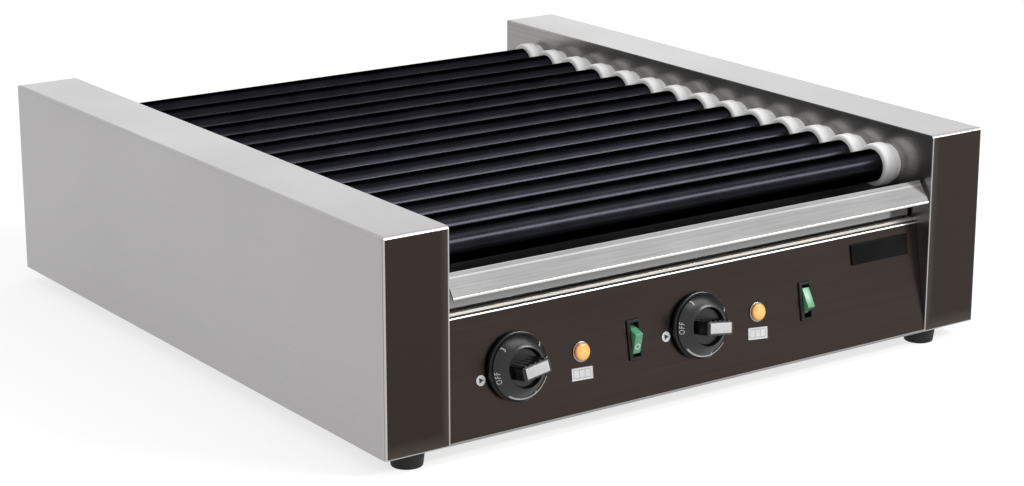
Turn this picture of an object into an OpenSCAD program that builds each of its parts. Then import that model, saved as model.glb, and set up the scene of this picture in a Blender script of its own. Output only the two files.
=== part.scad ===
// Roller grill: a row of heated, chain-driven rollers between two sheet-metal side towers.
// Millimetres. X runs to the right, Y to the back and Z up from the surface it stands on.

/* [Housing] */
// Overall width across the two side towers
body_w = 580; // [540:1:640]
// Distance from the last roller's axis to the back of the towers
rear_room = 52.2; // [45:0.1:100]
// Height of the towers' tops above the roller axes
tower_rise = 32.1; // [24:0.1:60]
// Width of one side tower
tower_w = 55.4; // [50:0.1:70]
// Sheet thickness of the covers and of the front and rear panels
sheet_t = 1.2; // [0.8:0.1:1.5]
// Thickness of the inner side plates and the heater supports
plate_t = 1.5; // [1:0.1:2.5]
// Thickness of the base pan
base_t = 2; // [1:0.1:3]
// Outside radius of the folds of the covers
bend_r = 3; // [2:0.1:6]
// Width of the flanges on plates and panels
flange_w = 13; // [11:0.5:16]
// Distance of a screw from the edge of its flange
screw_edge = 5.2; // [4:0.1:6]
// Height of the rear panel
rear_h = 118; // [80:1:125]
// Cooling slots in the base pan, on each side
vent_count = 6; // [2:1:8]
// Length of a cooling slot
vent_l = 70; // [30:1:100]
// Width of a cooling slot
vent_w = 5; // [3:0.5:8]

/* [Feet and screws] */
// Height of a rubber foot
foot_h = 13; // [10:0.5:25]
// Diameter of a foot at the top
foot_top_d = 27; // [20:0.5:40]
// Diameter of a foot at the floor
foot_floor_d = 24; // [16:0.5:36]
// Distance of a foot's centre from the front or back of the tower
foot_inset = 16.5; // [15:0.5:30]
// Distance of the front left foot's centre from the outer side of its tower
front_left_foot_side = 28.6; // [20:0.1:50]
// Distance of the other feet's centres from the outer sides of their towers
foot_side = 45.6; // [20:0.1:50]
// Diameter of a screw's shank
screw_d = 4; // [3:0.5:5]
// Diameter of a screw's head
screw_head_d = 7.2; // [6:0.1:9]
// Height of a screw's head
screw_head_h = 2.4; // [1.5:0.1:3]
// Rubber between the floor of a foot's counterbore and the base pan
foot_seat_t = 5; // [3:0.5:6]
// Length that a screw stands past the sheets it joins
screw_end = 3; // [1:0.5:6]

/* [Rollers] */
// Outside diameter of a roller tube
roller_d = 27; // [24:0.5:29]
// Wall of a roller tube
roller_wall = 1.2; // [0.8:0.1:2]
// Number of rollers
roller_count = 14; // [6:1:18]
// Gap between the tray's walls and the bushes above them
bush_clear = 4.45; // [2:0.05:8]
// Gap between the tray's front wall and the first bush
front_gap = 9.75; // [4:0.25:20]
// Length of tube inside a tower, past the side plate
tube_out = 8; // [6:0.5:12]
// Diameter of a heating element
element_d = 8; // [6:0.5:9]
// Length of a heating element past its support
element_out = 6; // [3:0.5:10]
// Gap between the sprockets' middles and the heater supports
support_gap = 14; // [9:0.5:16]
// Height of the heater supports above the roller axes
support_rise = 12; // [8:0.5:18]
// Length of the heater supports past the first and last roller axes
support_end = 18; // [10:0.5:24]

/* [Bushes] */
// Height of a bush's white collar above the roller's surface
collar_rise = 4.25; // [2:0.25:5]
// Length of the collar
collar_l = 13; // [6:0.5:20]
// Gap between the collar and the side plate
collar_gap = 5; // [2:0.5:10]
// Edge bevel of the collar
collar_bevel = 1.4; // [0.4:0.1:2]
// Wall of the bush's neck in the side plate
neck_wall = 2; // [1:0.1:3]
// Height of the lip that snaps behind the side plate
snap_rise = 0.8; // [0.4:0.1:1.5]
// Length of the snap lip
snap_l = 2; // [1:0.1:3]
// Radial clearance of turning and sliding round fits
running_fit = 0.05; // [0.02:0.01:0.1]

/* [Chain drive] */
// Pitch of the roller chain
chain_pitch = 9.525; // [9.3:0.005:9.6]
// Diameter of the chain's rollers
chain_roller_d = 6.1; // [5.5:0.05:6.2]
// Thickness of the sprocket discs
disc_t = 5.2; // [4:0.1:5.4]
// Height of the chain's link plates
link_h = 8; // [7:0.1:8.2]
// Thickness of the chain's link plates
link_t = 1.3; // [1:0.1:1.6]
// Distance from a tube's end to its sprocket's middle
sprocket_out = 6; // [6:0.5:9]
// Length of a sprocket's spigot in its tube
spigot_l = 12; // [6:0.5:20]
// Height of the teeth above the pitch line
tooth_rise = 1.2; // [1:0.1:1.6]
// Clearance of the chain's rollers in the tooth gaps
tooth_clear = 0.25; // [0.1:0.05:0.3]
// Widening of a tooth gap on each side, per millimetre outward
tooth_flare = 0.65; // [0.5:0.05:0.7]
// Clearance between the chain's plates and the sprockets' discs
link_clear = 0.35; // [0.2:0.05:0.6]
// Clearance of the hubs inside the chain
hub_clear = 1; // [0.5:0.1:2]
// Clearance of the heating elements in the sprockets
bore_clear = 2; // [1:0.1:3]
// Diameter of the drive shaft
shaft_d = 10; // [8:0.5:12]
// Depth of the drive shaft in the gearbox
shaft_in = 22; // [15:0.5:26]
// Clearance of the drive shaft in the plates that it passes
shaft_clear = 2; // [1:0.1:4]
// Side of the square gearbox
gearbox_w = 52; // [40:1:52]
// Length of the gearbox
gearbox_l = 30; // [28:1:45]
// Diameter of the motor
motor_d = 50; // [36:1:52]
// Length of the motor
motor_l = 55; // [40:1:80]
// Thickness of the motor bracket
bracket_t = 3; // [2:0.5:5]
// Width of the motor bracket past the gearbox on each side
bracket_edge = 6; // [2:0.5:6]
// Gap between the motor bracket and the tray runner above it
bracket_gap = 1.5; // [0.5:0.1:4]

/* [Drip tray] */
// Sheet thickness of the drip tray
tray_t = 1; // [0.8:0.1:1.5]
// Gap between the panel's top flange and the underside of the tray
tray_gap = 1.9; // [1:0.1:4]
// Side gap between the tray and the side plates
tray_side_gap = 2.8; // [1.5:0.1:6]
// Height of the tray's side and back walls
tray_wall_h = 18; // [12:0.5:19]
// Distance of the tray's front wall from the front
tray_front_y = 24; // [22:0.5:28]
// Distance of the tray's back wall from the back
tray_back_gap = 20; // [16:0.5:60]
// Height of the ridge of the front lip above the underside of the tray
ridge_h = 34.1; // [28:0.1:38]
// Distance of the ridge from the front
ridge_y = 11; // [8:0.5:14]
// How far the lip reaches forward from its ridge
lip_reach = 12; // [8:0.5:20]
// How far the lip drops from its ridge to its front edge
lip_drop = 15.9; // [10:0.1:18]
// Height of the turned-down hem at the lip's front edge
hem_h = 1.6; // [1:0.1:3]
// Thickness of a tray runner
runner_t = 1.5; // [1:0.1:2]
// Distance from the tray's front wall to the runners' front ends
runner_set_back = 4; // [2:0.5:20]
// Width of a tray runner
runner_w = 12; // [8:0.5:16]
// Height of a tray runner
runner_h = 9; // [6:0.5:10]
// Gap between the tray and its runners
slide_gap = 0.2; // [0.1:0.05:0.5]

/* [Control panel] */
// Height of the panel above the base pan
panel_h = 89.1; // [85:0.1:92]
// How far the panel's top edge leans back
panel_lean = 15.4; // [8:0.1:18]
// How far the panel's top flange reaches past the tray's front wall
panel_lap = 0.5; // [0:0.1:3]
// Distance along the panel from its lower edge to the row of controls
control_s = 45.4; // [42:0.1:48]
// Distance between the left and the right group of controls
group_pitch = 171.5; // [165:0.5:180]
// Distance of the left knob from the left side plate
knob_inset = 63.1; // [55:0.1:75]
// Distance from a knob to its pilot lamp
lamp_dx = 59.5; // [45:0.5:70]
// Distance from a knob to its rocker switch
rocker_dx = 110; // [95:0.5:120]
// Width of the name plate
plate_w = 61.5; // [40:0.5:70]
// Height of the name plate
plate_h = 17; // [10:0.5:18]
// Thickness of the name plate
name_plate_t = 1.5; // [0.8:0.1:3]
// Gap between the name plate and the right side plate
plate_inset = 12.35; // [5:0.05:25]
// Distance along the panel from its upper edge to the name plate's middle
plate_drop = 16.7; // [14:0.1:20]

/* [Knobs] */
// Diameter of a knob's skirt
knob_d = 52.4; // [44:0.1:56]
// Height of a knob above the panel, without its insert
knob_h = 28.4; // [26:0.1:34]
// Gap between the knob and the panel
knob_gap = 1.2; // [0.6:0.1:2]
// Height of the skirt's rim
rim_h = 3.4; // [2:0.1:6]
// Height of the step between the rim and the cone
step_h = 2.2; // [0.5:0.1:4]
// Diameter of the cone's foot
cone_d = 49.2; // [42:0.1:52]
// Height of the skirt's cone
cone_h = 5.8; // [3:0.1:7]
// Diameter of the cone's top
cone_top_d = 36; // [33:0.1:40]
// Height of the crown between the cone and the dish
crown_h = 1.4; // [0.2:0.1:2]
// Diameter of the dish in the cone's top
dish_d = 30.8; // [29:0.1:32]
// Diameter of the dish's floor
dish_floor_d = 28; // [24:0.1:29]
// Depth of the dish
dish_h = 3.8; // [1:0.1:4.5]
// Length of the grip bar
grip_l = 25; // [22:0.5:27]
// Width of the grip bar
grip_w = 11; // [9:0.5:14]
// Rim of the bar around the insert
insert_rim = 1.1; // [0.8:0.1:2]
// Depth of the insert in the bar
insert_sunk = 0.8; // [0.5:0.1:1.5]
// Height of the insert above the bar
insert_proud = 0.8; // [0.4:0.1:1.5]
// Turn of the left knob from level, anticlockwise
left_knob_turn = 8.6; // [0:0.1:15]
// Turn of the right knob from level, anticlockwise
right_knob_turn = -7.4; // [-15:0.1:0]
// Diameter of a thermostat's shaft
stem_d = 6; // [5:0.5:7]
// Length of shaft in the knob
stem_l = 16.8; // [12:0.1:18]
// Side of the thermostat's square body
thermostat_w = 34; // [28:1:40]
// Depth of the thermostat's body
thermostat_l = 24; // [20:1:30]
// Depth of the shaft in the thermostat
stem_in = 14; // [10:0.5:18]
// Depth of the flat on the shaft
stem_flat = 0.9; // [0.5:0.1:1.5]
// Wall of the thermostat's bush around the shaft
stem_wall = 2; // [1:0.1:3]

/* [Lamps and switches] */
// Width of a lamp's bezel around its lens
bezel_rim = 1.5; // [0.8:0.1:4]
// Slope of the bezel's edge
bezel_slope = 0.5; // [0.2:0.1:0.8]
// Height of a lamp's bezel
bezel_h = 2; // [1:0.1:4]
// Diameter of a lamp's lens
lens_d = 13; // [11:0.5:14]
// Height of the lens above its bezel
lens_h = 2.3; // [2:0.1:8]
// Radius of the lens's front edge
lens_round = 0.8; // [0.5:0.1:2.8]
// How far the lens overlaps the bezel's barrel
lens_lap = 0.2; // [0.1:0.1:1]
// Depth of the bezel's barrel behind the panel's face
barrel_l = 12; // [8:0.5:20]
// Wall of the bezel's barrel
barrel_wall = 1.6; // [1:0.1:2]
// Width of a rocker switch's bezel
switch_w = 13.4; // [13:0.1:16]
// Height of a rocker switch's bezel
switch_h = 31.2; // [30:0.1:36]
// Thickness of the switch's bezel
switch_rim = 1.6; // [1:0.1:3]
// Depth of the switch behind the panel's face
switch_l = 22; // [16:0.5:30]
// Width of the switch's bezel around its body
switch_flange = 1; // [0.5:0.1:2]
// Wall at the ends of the switch's well
well_wall = 1.3; // [0.8:0.1:2]
// Wall at the sides of the switch's well
well_side = 1.9; // [0.9:0.1:2.5]
// Depth of the paddle's pivot behind the panel's face
pivot_depth = 6.3; // [5:0.1:8]
// Diameter of the paddle's pins
pivot_d = 2.4; // [1.6:0.1:3]
// Length of a pin in the switch's side wall
pivot_l = 0.7; // [0.4:0.1:0.8]
// Height of the paddle's ridge above its pivot
paddle_h = 14; // [13:0.1:15]
// Slope of the paddle's two faces from its ridge
paddle_slope = 40; // [36:0.5:44]
// Depth of the paddle below its pivot
paddle_under = 4; // [3:0.1:4.5]
// Half length of the paddle's underside
paddle_under_l = 5; // [3:0.1:7]
// Depth of the well below the paddle's pivot
well_depth = 6; // [5.6:0.1:8]
// Tilt of the paddle to each side
paddle_tilt = 19; // [10:0.5:20]

/* [Cable gland] */
// Diameter of the gland's bore
gland_bore_d = 8.5; // [6:0.5:10]
// Diameter of the gland's flange
gland_d = 22; // [20:0.5:28]
// Wall of the gland's neck in the rear panel
gland_wall = 4; // [2:0.1:5]
// Thickness of the gland's flange
gland_flange_t = 5; // [3:0.5:8]
// Thickness of the gland's nut
gland_nut_t = 6; // [3:0.5:8]
// Wall at the tip of the gland
gland_tip_wall = 2; // [1:0.1:3]
// Length of the gland behind the rear panel
gland_out = 20; // [12:0.5:30]
// Distance of the gland from the left side plate
gland_inset = 64.6; // [40:0.1:440]
// Height of the gland above the base pan
gland_z = 35; // [25:1:60]

/* [Hidden] */
$fn = 64;
sprocket_teeth = 10;
links_per_roller = 4;
extra_links = 8;
fit_gap = 0.2;
press_fit = 0.02;
cut = 1;

// Levels above the floor, stacked from the feet up to the rollers and the tops of the towers
roller_r = roller_d/2;
neck_r = roller_r + running_fit + neck_wall;
collar_r = roller_r + collar_rise;
z_body = foot_h;
z_pan = z_body + base_t;
z_panel_top = z_pan + panel_h;
z_tray = z_panel_top + tray_gap;
z_tray_wall = z_tray + tray_wall_h;
z_roller = z_tray_wall + bush_clear + collar_r;
z_top = z_roller + tower_rise;

// Places across the width
x_out = body_w/2;
x_in = x_out - tower_w;
x_tube = x_in + plate_t + tube_out;
x_sprocket = x_tube + sprocket_out;
x_support = x_sprocket + support_gap;
x_element = x_support + plate_t + element_out;

// Roller row and the depth that follows from it
roller_pitch = links_per_roller*chain_pitch;
row_links = (roller_count - 1)*links_per_roller;
row_l = row_links*chain_pitch;
first_roller_y = tray_front_y + front_gap + collar_r;
last_roller_y = first_roller_y + row_l;
body_d = last_roller_y + rear_room;

// Chain path: along the row, round the last sprocket, down to the drive sprocket and back to the first
run_links = row_links + extra_links;
drop = chain_pitch*(run_links*run_links - row_links*row_links)/(2*run_links);
drop_links = drop/chain_pitch;
return_links = run_links - drop_links;
link_angle = 360/sprocket_teeth;
pitch_r = chain_pitch/(2*sin(180/sprocket_teeth));
return_angle = 90 + atan(drop/row_l);
chain_links = row_links + run_links + sprocket_teeth;
y_drive = last_roller_y;
z_drive = z_roller - drop;
drop_start = row_links + 90/link_angle;
drive_start = drop_start + drop_links;
return_start = drive_start + return_angle/link_angle;
front_start = return_start + return_links;
drive_phase = -(ceil(drive_start) - drive_start)*link_angle;

// Sprocket form
tooth_tip_r = pitch_r + tooth_rise;
tooth_gap_r = chain_roller_d/2 + tooth_clear;
tooth_open_l = 2*tooth_rise;
hub_r = pitch_r - link_h/2 - hub_clear;
spigot_r = roller_r - roller_wall - press_fit;
sprocket_bore_r = element_d/2 + bore_clear;
link_side = disc_t/2 + link_clear;

// Drip tray
tray_half_w = x_in - tray_side_gap;
tray_back_y = body_d - tray_back_gap;
ridge_back_drop = tray_front_y - ridge_y;
z_runner = z_tray - slide_gap;

// Place of the gland
gland_x = -x_in + gland_inset;

// Panel frame
panel_tilt = atan(panel_lean/panel_h);
plate_s = panel_h/cos(panel_tilt) - plate_drop;
panel_half_w = x_in - fit_gap;
panel_flange_y = tray_front_y + panel_lap;
left_knob_x = -x_in + knob_inset;
right_knob_x = left_knob_x + group_pitch;
knob_xs = [left_knob_x, right_knob_x];
plate_x = x_in - plate_inset - plate_w/2;
stem_hole_r = stem_d/2 + stem_wall;
insert_l = grip_l - 2*insert_rim;
insert_w = grip_w - 2*insert_rim;

// Lamps and switches
bezel_d = lens_d + 2*bezel_rim;
barrel_r = lens_d/2 - lens_lap;
switch_body_w = switch_w - 2*switch_flange;
switch_body_h = switch_h - 2*switch_flange;
well_w = switch_body_w - 2*well_side;
well_h = switch_body_h - 2*well_wall;
paddle_w = well_w - 2*fit_gap;
paddle_reach = well_h/2 - fit_gap;

// The box around the whole grill is centred on the origin in Y
function knob_reach(turn) = insert_w/2*cos(turn) + insert_l/2*abs(sin(turn));
insert_reach = max(knob_reach(left_knob_turn), knob_reach(right_knob_turn));
front_out = (knob_h + insert_proud)*cos(panel_tilt) - (control_s - insert_reach)*sin(panel_tilt);
front_y = -(body_d + gland_out - front_out)/2;

// Screw places
rear_foot_y = body_d - foot_inset;
foot_points = [[-x_out + front_left_foot_side, foot_inset], [x_out - foot_side, foot_inset],
               [-x_out + foot_side, rear_foot_y], [x_out - foot_side, rear_foot_y]];
panel_screw_xs = [-0.75*x_in, -0.25*x_in, 0.25*x_in, 0.75*x_in];
panel_screw_y = flange_w - screw_edge;
rear_screw_y = body_d - panel_screw_y;
cover_screw_zs = [for (share = [0.2, 0.5, 0.8]) z_body + share*(z_top - z_body)];
cover_screw_x = x_in + flange_w - screw_edge;
screw_hole_r = screw_d/2 + fit_gap/2;
foot_seat_h = foot_h - foot_seat_t;

function two_digits(i) = str(i < 10 ? "0" : "", i);
function tube_name(i) = str("roller_tube_", two_digits(i));
function sprocket_name(i) = str("roller_sprocket_", two_digits(i));
roller_numbers = [1:roller_count];

// Frames and helpers

// Moves a piece drawn from the front of the towers into the grill's own frame
module in_frame() {
    translate([0, front_y, 0]) children();
}

// A place on the panel: X across, Y up along the panel, Z out of its face
module on_panel(x, s) {
    translate([x, 0, z_pan]) rotate([90 - panel_tilt, 0, 0]) translate([0, s, 0]) children();
}

// The axis of roller i, with Z turned along the roller
module on_roller(i, x = 0) {
    translate([x, first_roller_y + (i - 1)*roller_pitch, z_roller]) rotate([0, 90, 0]) children();
}

module both_sides() {
    children();
    mirror([1, 0, 0]) children();
}

// Unit normal on the right of a line from a to b
function right_of(a, b) = let (d = (b - a)/norm(b - a)) [d[1], -d[0]];

// Corner of a folded sheet's second face, a mitre between the normals of its two flats
function mitre(n, m, t) = (n + m)*t/(1 + n*m);

// A sheet folded along a path of [y, z] points, thick to the right of the path
module folded_sheet(path, t, half_w) {
    last = len(path) - 1;
    normals = [for (i = [0:last - 1]) right_of(path[i], path[i + 1])];
    back = [for (i = [last:-1:0])
        path[i] + (i == 0 ? normals[0]*t : i == last ? normals[last - 1]*t : mitre(normals[i - 1], normals[i], t))];
    translate([-half_w, 0, 0]) rotate([90, 0, 90]) linear_extrude(2*half_w) polygon(concat(path, back));
}

// Outline with its two far corners rounded
module rounded_outline(x0, x1, y0, y1, r) {
    translate([x0, y0]) square([x1 - x0 - r, y1 - y0]);
    translate([x0, y0 + r]) square([x1 - x0, y1 - y0 - 2*r]);
    for (y = [y0 + r, y1 - r]) translate([x1 - r, y]) circle(r);
}

// A block rounded at its outer upright edges and around its top
module tower_block(x0, x1, y0, y1, z0, z1, r) {
    intersection() {
        translate([0, 0, z0]) linear_extrude(z1 - z0) rounded_outline(x0, x1, y0, y1, r);
        translate([0, y1, 0]) rotate([90, 0, 0]) linear_extrude(y1 - y0)
            rounded_outline(x0, x1, 2*z0 - z1, z1, r);
        translate([x0, 0, 0]) rotate([90, 0, 90]) linear_extrude(x1 - x0)
            mirror([1, -1]) rounded_outline(z0, z1, y0, y1, r);
    }
}

// A pan-head screw whose head bears on Z = 0 from below
module screw(l) {
    translate([0, 0, -screw_head_h]) cylinder(d = screw_head_d, h = screw_head_h);
    cylinder(d = screw_d, h = l);
}

// Toothed disc with a gap pointing along +X
module toothed_disc() {
    linear_extrude(disc_t, center = true) difference() {
        circle(tooth_tip_r);
        for (k = [0:sprocket_teeth - 1]) rotate(k*link_angle) {
            translate([pitch_r, 0]) circle(tooth_gap_r);
            polygon([[pitch_r, -tooth_gap_r], [pitch_r, tooth_gap_r],
                     [pitch_r + tooth_open_l, tooth_gap_r + tooth_open_l*tooth_flare],
                     [pitch_r + tooth_open_l, -tooth_gap_r - tooth_open_l*tooth_flare]]);
        }
    }
}

// Housing

module base_pan() {
    edge_x = x_out - sheet_t - fit_gap;
    edge_y = sheet_t + fit_gap;
    color("silver") in_frame() difference() {
        union() {
            translate([-panel_half_w, 0, z_body]) cube([2*panel_half_w, body_d, base_t]);
            both_sides() translate([0, 0, z_body]) linear_extrude(base_t)
                rounded_outline(0, edge_x, edge_y, body_d - edge_y, bend_r);
        }
        for (p = foot_points) translate([p[0], p[1], z_body - cut]) cylinder(r = screw_hole_r, h = base_t + 2*cut);
        for (x = panel_screw_xs) for (y = [panel_screw_y, rear_screw_y])
            translate([x, y, z_body - cut]) cylinder(r = screw_hole_r, h = base_t + 2*cut);
        both_sides() for (k = [1:vent_count])
            translate([x_in/2 - vent_l/2, body_d*k/(vent_count + 1) - vent_w/2, z_body - cut])
                cube([vent_l, vent_w, base_t + 2*cut]);
    }
}

// Inner wall of a tower, with flanges turned into the tower at the front, back and bottom
module side_plate() {
    y0 = sheet_t;
    y1 = body_d - sheet_t;
    z1 = z_top - sheet_t;
    difference() {
        intersection() {
            union() {
                translate([x_in, y0, z_pan]) cube([plate_t, y1 - y0, z1 - z_pan]);
                translate([x_in, y0, z_pan]) cube([flange_w, y1 - y0, plate_t]);
                translate([x_in, y0, z_pan]) cube([flange_w, plate_t, z1 - z_pan]);
                translate([x_in, y1 - plate_t, z_pan]) cube([flange_w, plate_t, z1 - z_pan]);
            }
            tower_block(x_in, x_out, y0, y1, z_pan, z1, bend_r);
        }
        for (i = roller_numbers) on_roller(i, x_in - cut) cylinder(r = neck_r + press_fit, h = plate_t + 2*cut);
        for (p = foot_points) translate([abs(p[0]), p[1], z_pan - cut])
            cylinder(r = screw_hole_r, h = plate_t + 2*cut);
        for (z = cover_screw_zs) translate([cover_screw_x, y1 + cut, z]) rotate([90, 0, 0])
            cylinder(r = screw_hole_r, h = plate_t + 2*cut);
    }
}

module left_side_plate() {
    color("dimgray") in_frame() mirror([1, 0, 0]) side_plate();
}

module right_side_plate() {
    color("dimgray") in_frame() difference() {
        side_plate();
        translate([x_in - cut, y_drive, z_drive]) rotate([0, 90, 0])
            cylinder(r = shaft_d/2 + shaft_clear, h = plate_t + 2*cut);
    }
}

// Outer side, top, front and back of a tower, folded from one sheet
module outer_cover() {
    difference() {
        tower_block(x_in, x_out, 0, body_d, z_body, z_top, bend_r);
        tower_block(x_in - cut, x_out - sheet_t, sheet_t, body_d - sheet_t, z_body - cut, z_top - sheet_t,
                    bend_r - sheet_t);
        for (z = cover_screw_zs) translate([cover_screw_x, body_d + cut, z]) rotate([90, 0, 0])
            cylinder(r = screw_hole_r, h = sheet_t + 2*cut);
    }
}

module left_outer_cover() {
    color("lightgray") in_frame() mirror([1, 0, 0]) outer_cover();
}

module right_outer_cover() {
    color("lightgray") in_frame() outer_cover();
}

module rear_panel() {
    path = [[body_d, z_pan + rear_h], [body_d, z_pan], [body_d - flange_w, z_pan]];
    color("darkgray") in_frame() difference() {
        folded_sheet(path, sheet_t, panel_half_w);
        translate([gland_x, body_d + cut, z_pan + gland_z]) rotate([90, 0, 0])
            cylinder(r = gland_bore_d/2 + gland_wall + fit_gap, h = sheet_t + 2*cut);
        for (x = panel_screw_xs) translate([x, rear_screw_y, z_pan - cut])
            cylinder(r = screw_hole_r, h = sheet_t + 2*cut);
    }
}

module front_panel() {
    path = [[flange_w, z_pan], [0, z_pan], [panel_lean, z_panel_top], [panel_flange_y, z_panel_top]];
    color([0.26, 0.23, 0.21]) in_frame() difference() {
        folded_sheet(path, sheet_t, panel_half_w);
        for (x = knob_xs) {
            on_panel(x, control_s) translate([0, 0, -sheet_t - cut])
                cylinder(r = stem_hole_r + fit_gap, h = sheet_t + 2*cut);
            on_panel(x + lamp_dx, control_s) translate([0, 0, -sheet_t - cut])
                cylinder(r = barrel_r + fit_gap, h = sheet_t + 2*cut);
            on_panel(x + rocker_dx, control_s)
                cube([switch_body_w + 2*fit_gap, switch_body_h + 2*fit_gap, 4*sheet_t], center = true);
        }
        for (x = panel_screw_xs) translate([x, panel_screw_y, z_pan - cut])
            cylinder(r = screw_hole_r, h = sheet_t + 2*cut);
    }
}

module feet() {
    color([0.08, 0.08, 0.08]) in_frame() for (p = foot_points) translate([p[0], p[1], 0]) difference() {
        cylinder(d1 = foot_floor_d, d2 = foot_top_d, h = foot_h);
        translate([0, 0, -cut]) cylinder(r = screw_head_d/2 + 3*fit_gap, h = foot_seat_h + cut);
        cylinder(r = screw_hole_r, h = foot_h + cut);
    }
}

module screws() {
    color("silver") in_frame() {
        for (p = foot_points) translate([p[0], p[1], foot_seat_h]) screw(z_pan - foot_seat_h + screw_end);
        for (x = panel_screw_xs) for (y = [panel_screw_y, rear_screw_y])
            translate([x, y, z_body]) screw(base_t + sheet_t + screw_end);
        both_sides() for (z = cover_screw_zs) translate([cover_screw_x, body_d, z]) rotate([90, 0, 0])
            screw(sheet_t + plate_t + screw_end);
    }
}

// Rollers

module roller_tube(i) {
    color([0.07, 0.07, 0.08]) in_frame() on_roller(i, -x_tube) difference() {
        cylinder(r = roller_r, h = 2*x_tube);
        translate([0, 0, -cut]) cylinder(r = roller_r - roller_wall, h = 2*x_tube + 2*cut);
    }
}

// Sprocket with a spigot in the tube's end, bored for the heating element, a tooth gap at the top
module roller_sprocket(i) {
    color("gray") in_frame() on_roller(i, x_sprocket) difference() {
        union() {
            rotate(180) toothed_disc();
            translate([0, 0, -sprocket_out]) cylinder(r = hub_r, h = sprocket_out);
            translate([0, 0, -sprocket_out - spigot_l]) cylinder(r = spigot_r, h = spigot_l);
        }
        translate([0, 0, -sprocket_out - spigot_l - cut])
            cylinder(r = sprocket_bore_r, h = sprocket_out + spigot_l + disc_t + 2*cut);
    }
}

// White collar in front of the side plate, with a neck that snaps into the plate
module bush() {
    bore_r = roller_r + running_fit;
    collar_end = -collar_gap - collar_l;
    snap_z = plate_t + fit_gap;
    snap_r = neck_r + snap_rise;
    rotate_extrude() polygon([
        [bore_r, collar_end], [collar_r - collar_bevel, collar_end], [collar_r, collar_end + collar_bevel],
        [collar_r, -collar_gap - collar_bevel], [collar_r - collar_bevel, -collar_gap], [neck_r, -collar_gap],
        [neck_r, snap_z], [snap_r, snap_z], [snap_r, snap_z + snap_l/2], [neck_r, snap_z + snap_l],
        [bore_r, snap_z + snap_l]]);
}

module roller_bushes() {
    color("white") in_frame() both_sides() for (i = roller_numbers) on_roller(i, x_in) bush();
}

module heating_elements() {
    color("sienna") in_frame() for (i = roller_numbers) on_roller(i, -x_element)
        cylinder(d = element_d, h = 2*x_element);
}

// Plates that stand in the towers and hold the ends of the heating elements
module heater_supports() {
    y0 = first_roller_y - support_end;
    l = row_l + 2*support_end;
    color("darkgray") in_frame() both_sides() difference() {
        union() {
            translate([x_support, y0, z_pan]) cube([plate_t, l, z_roller + support_rise - z_pan]);
            translate([x_support, y0, z_pan]) cube([flange_w, l, plate_t]);
        }
        for (i = roller_numbers) on_roller(i, x_support - cut)
            cylinder(d = element_d + 2*press_fit, h = plate_t + 2*cut);
    }
}

// Chain drive

module gear_motor() {
    x1 = x_in - bracket_t;
    color([0.35, 0.36, 0.38]) in_frame() translate([x1 - gearbox_l, y_drive, z_drive]) difference() {
        union() {
            translate([0, -gearbox_w/2, -gearbox_w/2]) cube([gearbox_l, gearbox_w, gearbox_w]);
            translate([-motor_l, 0, 0]) rotate([0, 90, 0]) cylinder(d = motor_d, h = motor_l);
        }
        translate([gearbox_l - shaft_in - fit_gap, 0, 0]) rotate([0, 90, 0])
            cylinder(r = shaft_d/2 + running_fit, h = shaft_in + fit_gap + cut);
    }
}

// Plate against the side plate, with a foot on the base pan
module motor_bracket() {
    w = gearbox_w + 2*bracket_edge;
    h = z_runner - runner_h - bracket_gap - z_pan;
    color("darkgray") in_frame() difference() {
        union() {
            translate([x_in - bracket_t, y_drive - w/2, z_pan]) cube([bracket_t, w, h]);
            translate([x_in - bracket_t - flange_w, y_drive - w/2, z_pan]) cube([flange_w + bracket_t, w, bracket_t]);
        }
        translate([x_in - bracket_t - cut, y_drive, z_drive]) rotate([0, 90, 0])
            cylinder(r = shaft_d/2 + shaft_clear, h = bracket_t + 2*cut);
    }
}

// Sprocket in one with the shaft that runs in the gearbox
module drive_sprocket() {
    shaft_end = x_in - bracket_t - shaft_in;
    color("gray") in_frame() translate([0, y_drive, z_drive]) {
        translate([x_sprocket, 0, 0]) rotate([drive_phase, 0, 0]) rotate([90, 0, 90]) toothed_disc();
        translate([x_sprocket - sprocket_out, 0, 0]) rotate([0, 90, 0]) cylinder(r = hub_r, h = sprocket_out);
        translate([shaft_end, 0, 0]) rotate([0, 90, 0]) cylinder(d = shaft_d, h = x_sprocket - shaft_end);
    }
}

first_axis = [first_roller_y, z_roller];
last_axis = [last_roller_y, z_roller];
drive_axis = [y_drive, z_drive];

// Point of the chain's pitch line, s links from the top of the first sprocket
function on_circle(axis, angle) = axis + pitch_r*[cos(angle), sin(angle)];
function chain_point(s) =
    s < row_links ? on_circle(first_axis, 90) + [s*chain_pitch, 0]
    : s < drop_start ? on_circle(last_axis, 90 - (s - row_links)*link_angle)
    : s < drive_start ? on_circle(last_axis, 0) - [0, (s - drop_start)*chain_pitch]
    : s < return_start ? on_circle(drive_axis, -(s - drive_start)*link_angle)
    : s < front_start ? on_circle(drive_axis, -return_angle)
        + (first_axis - drive_axis)*(s - return_start)/return_links
    : on_circle(first_axis, -return_angle - (s - front_start)*link_angle);

// Belt outline round the three outermost sprockets
module belt_outline(r) {
    axes = [first_axis, last_axis, drive_axis];
    normals = [for (k = [0:2]) -right_of(axes[k], axes[(k + 1) % 3])];
    polygon([for (k = [0:2]) for (a = [axes[k], axes[(k + 1) % 3]]) a + r*normals[k]]);
    for (a = axes) translate(a) circle(r);
}

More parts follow.
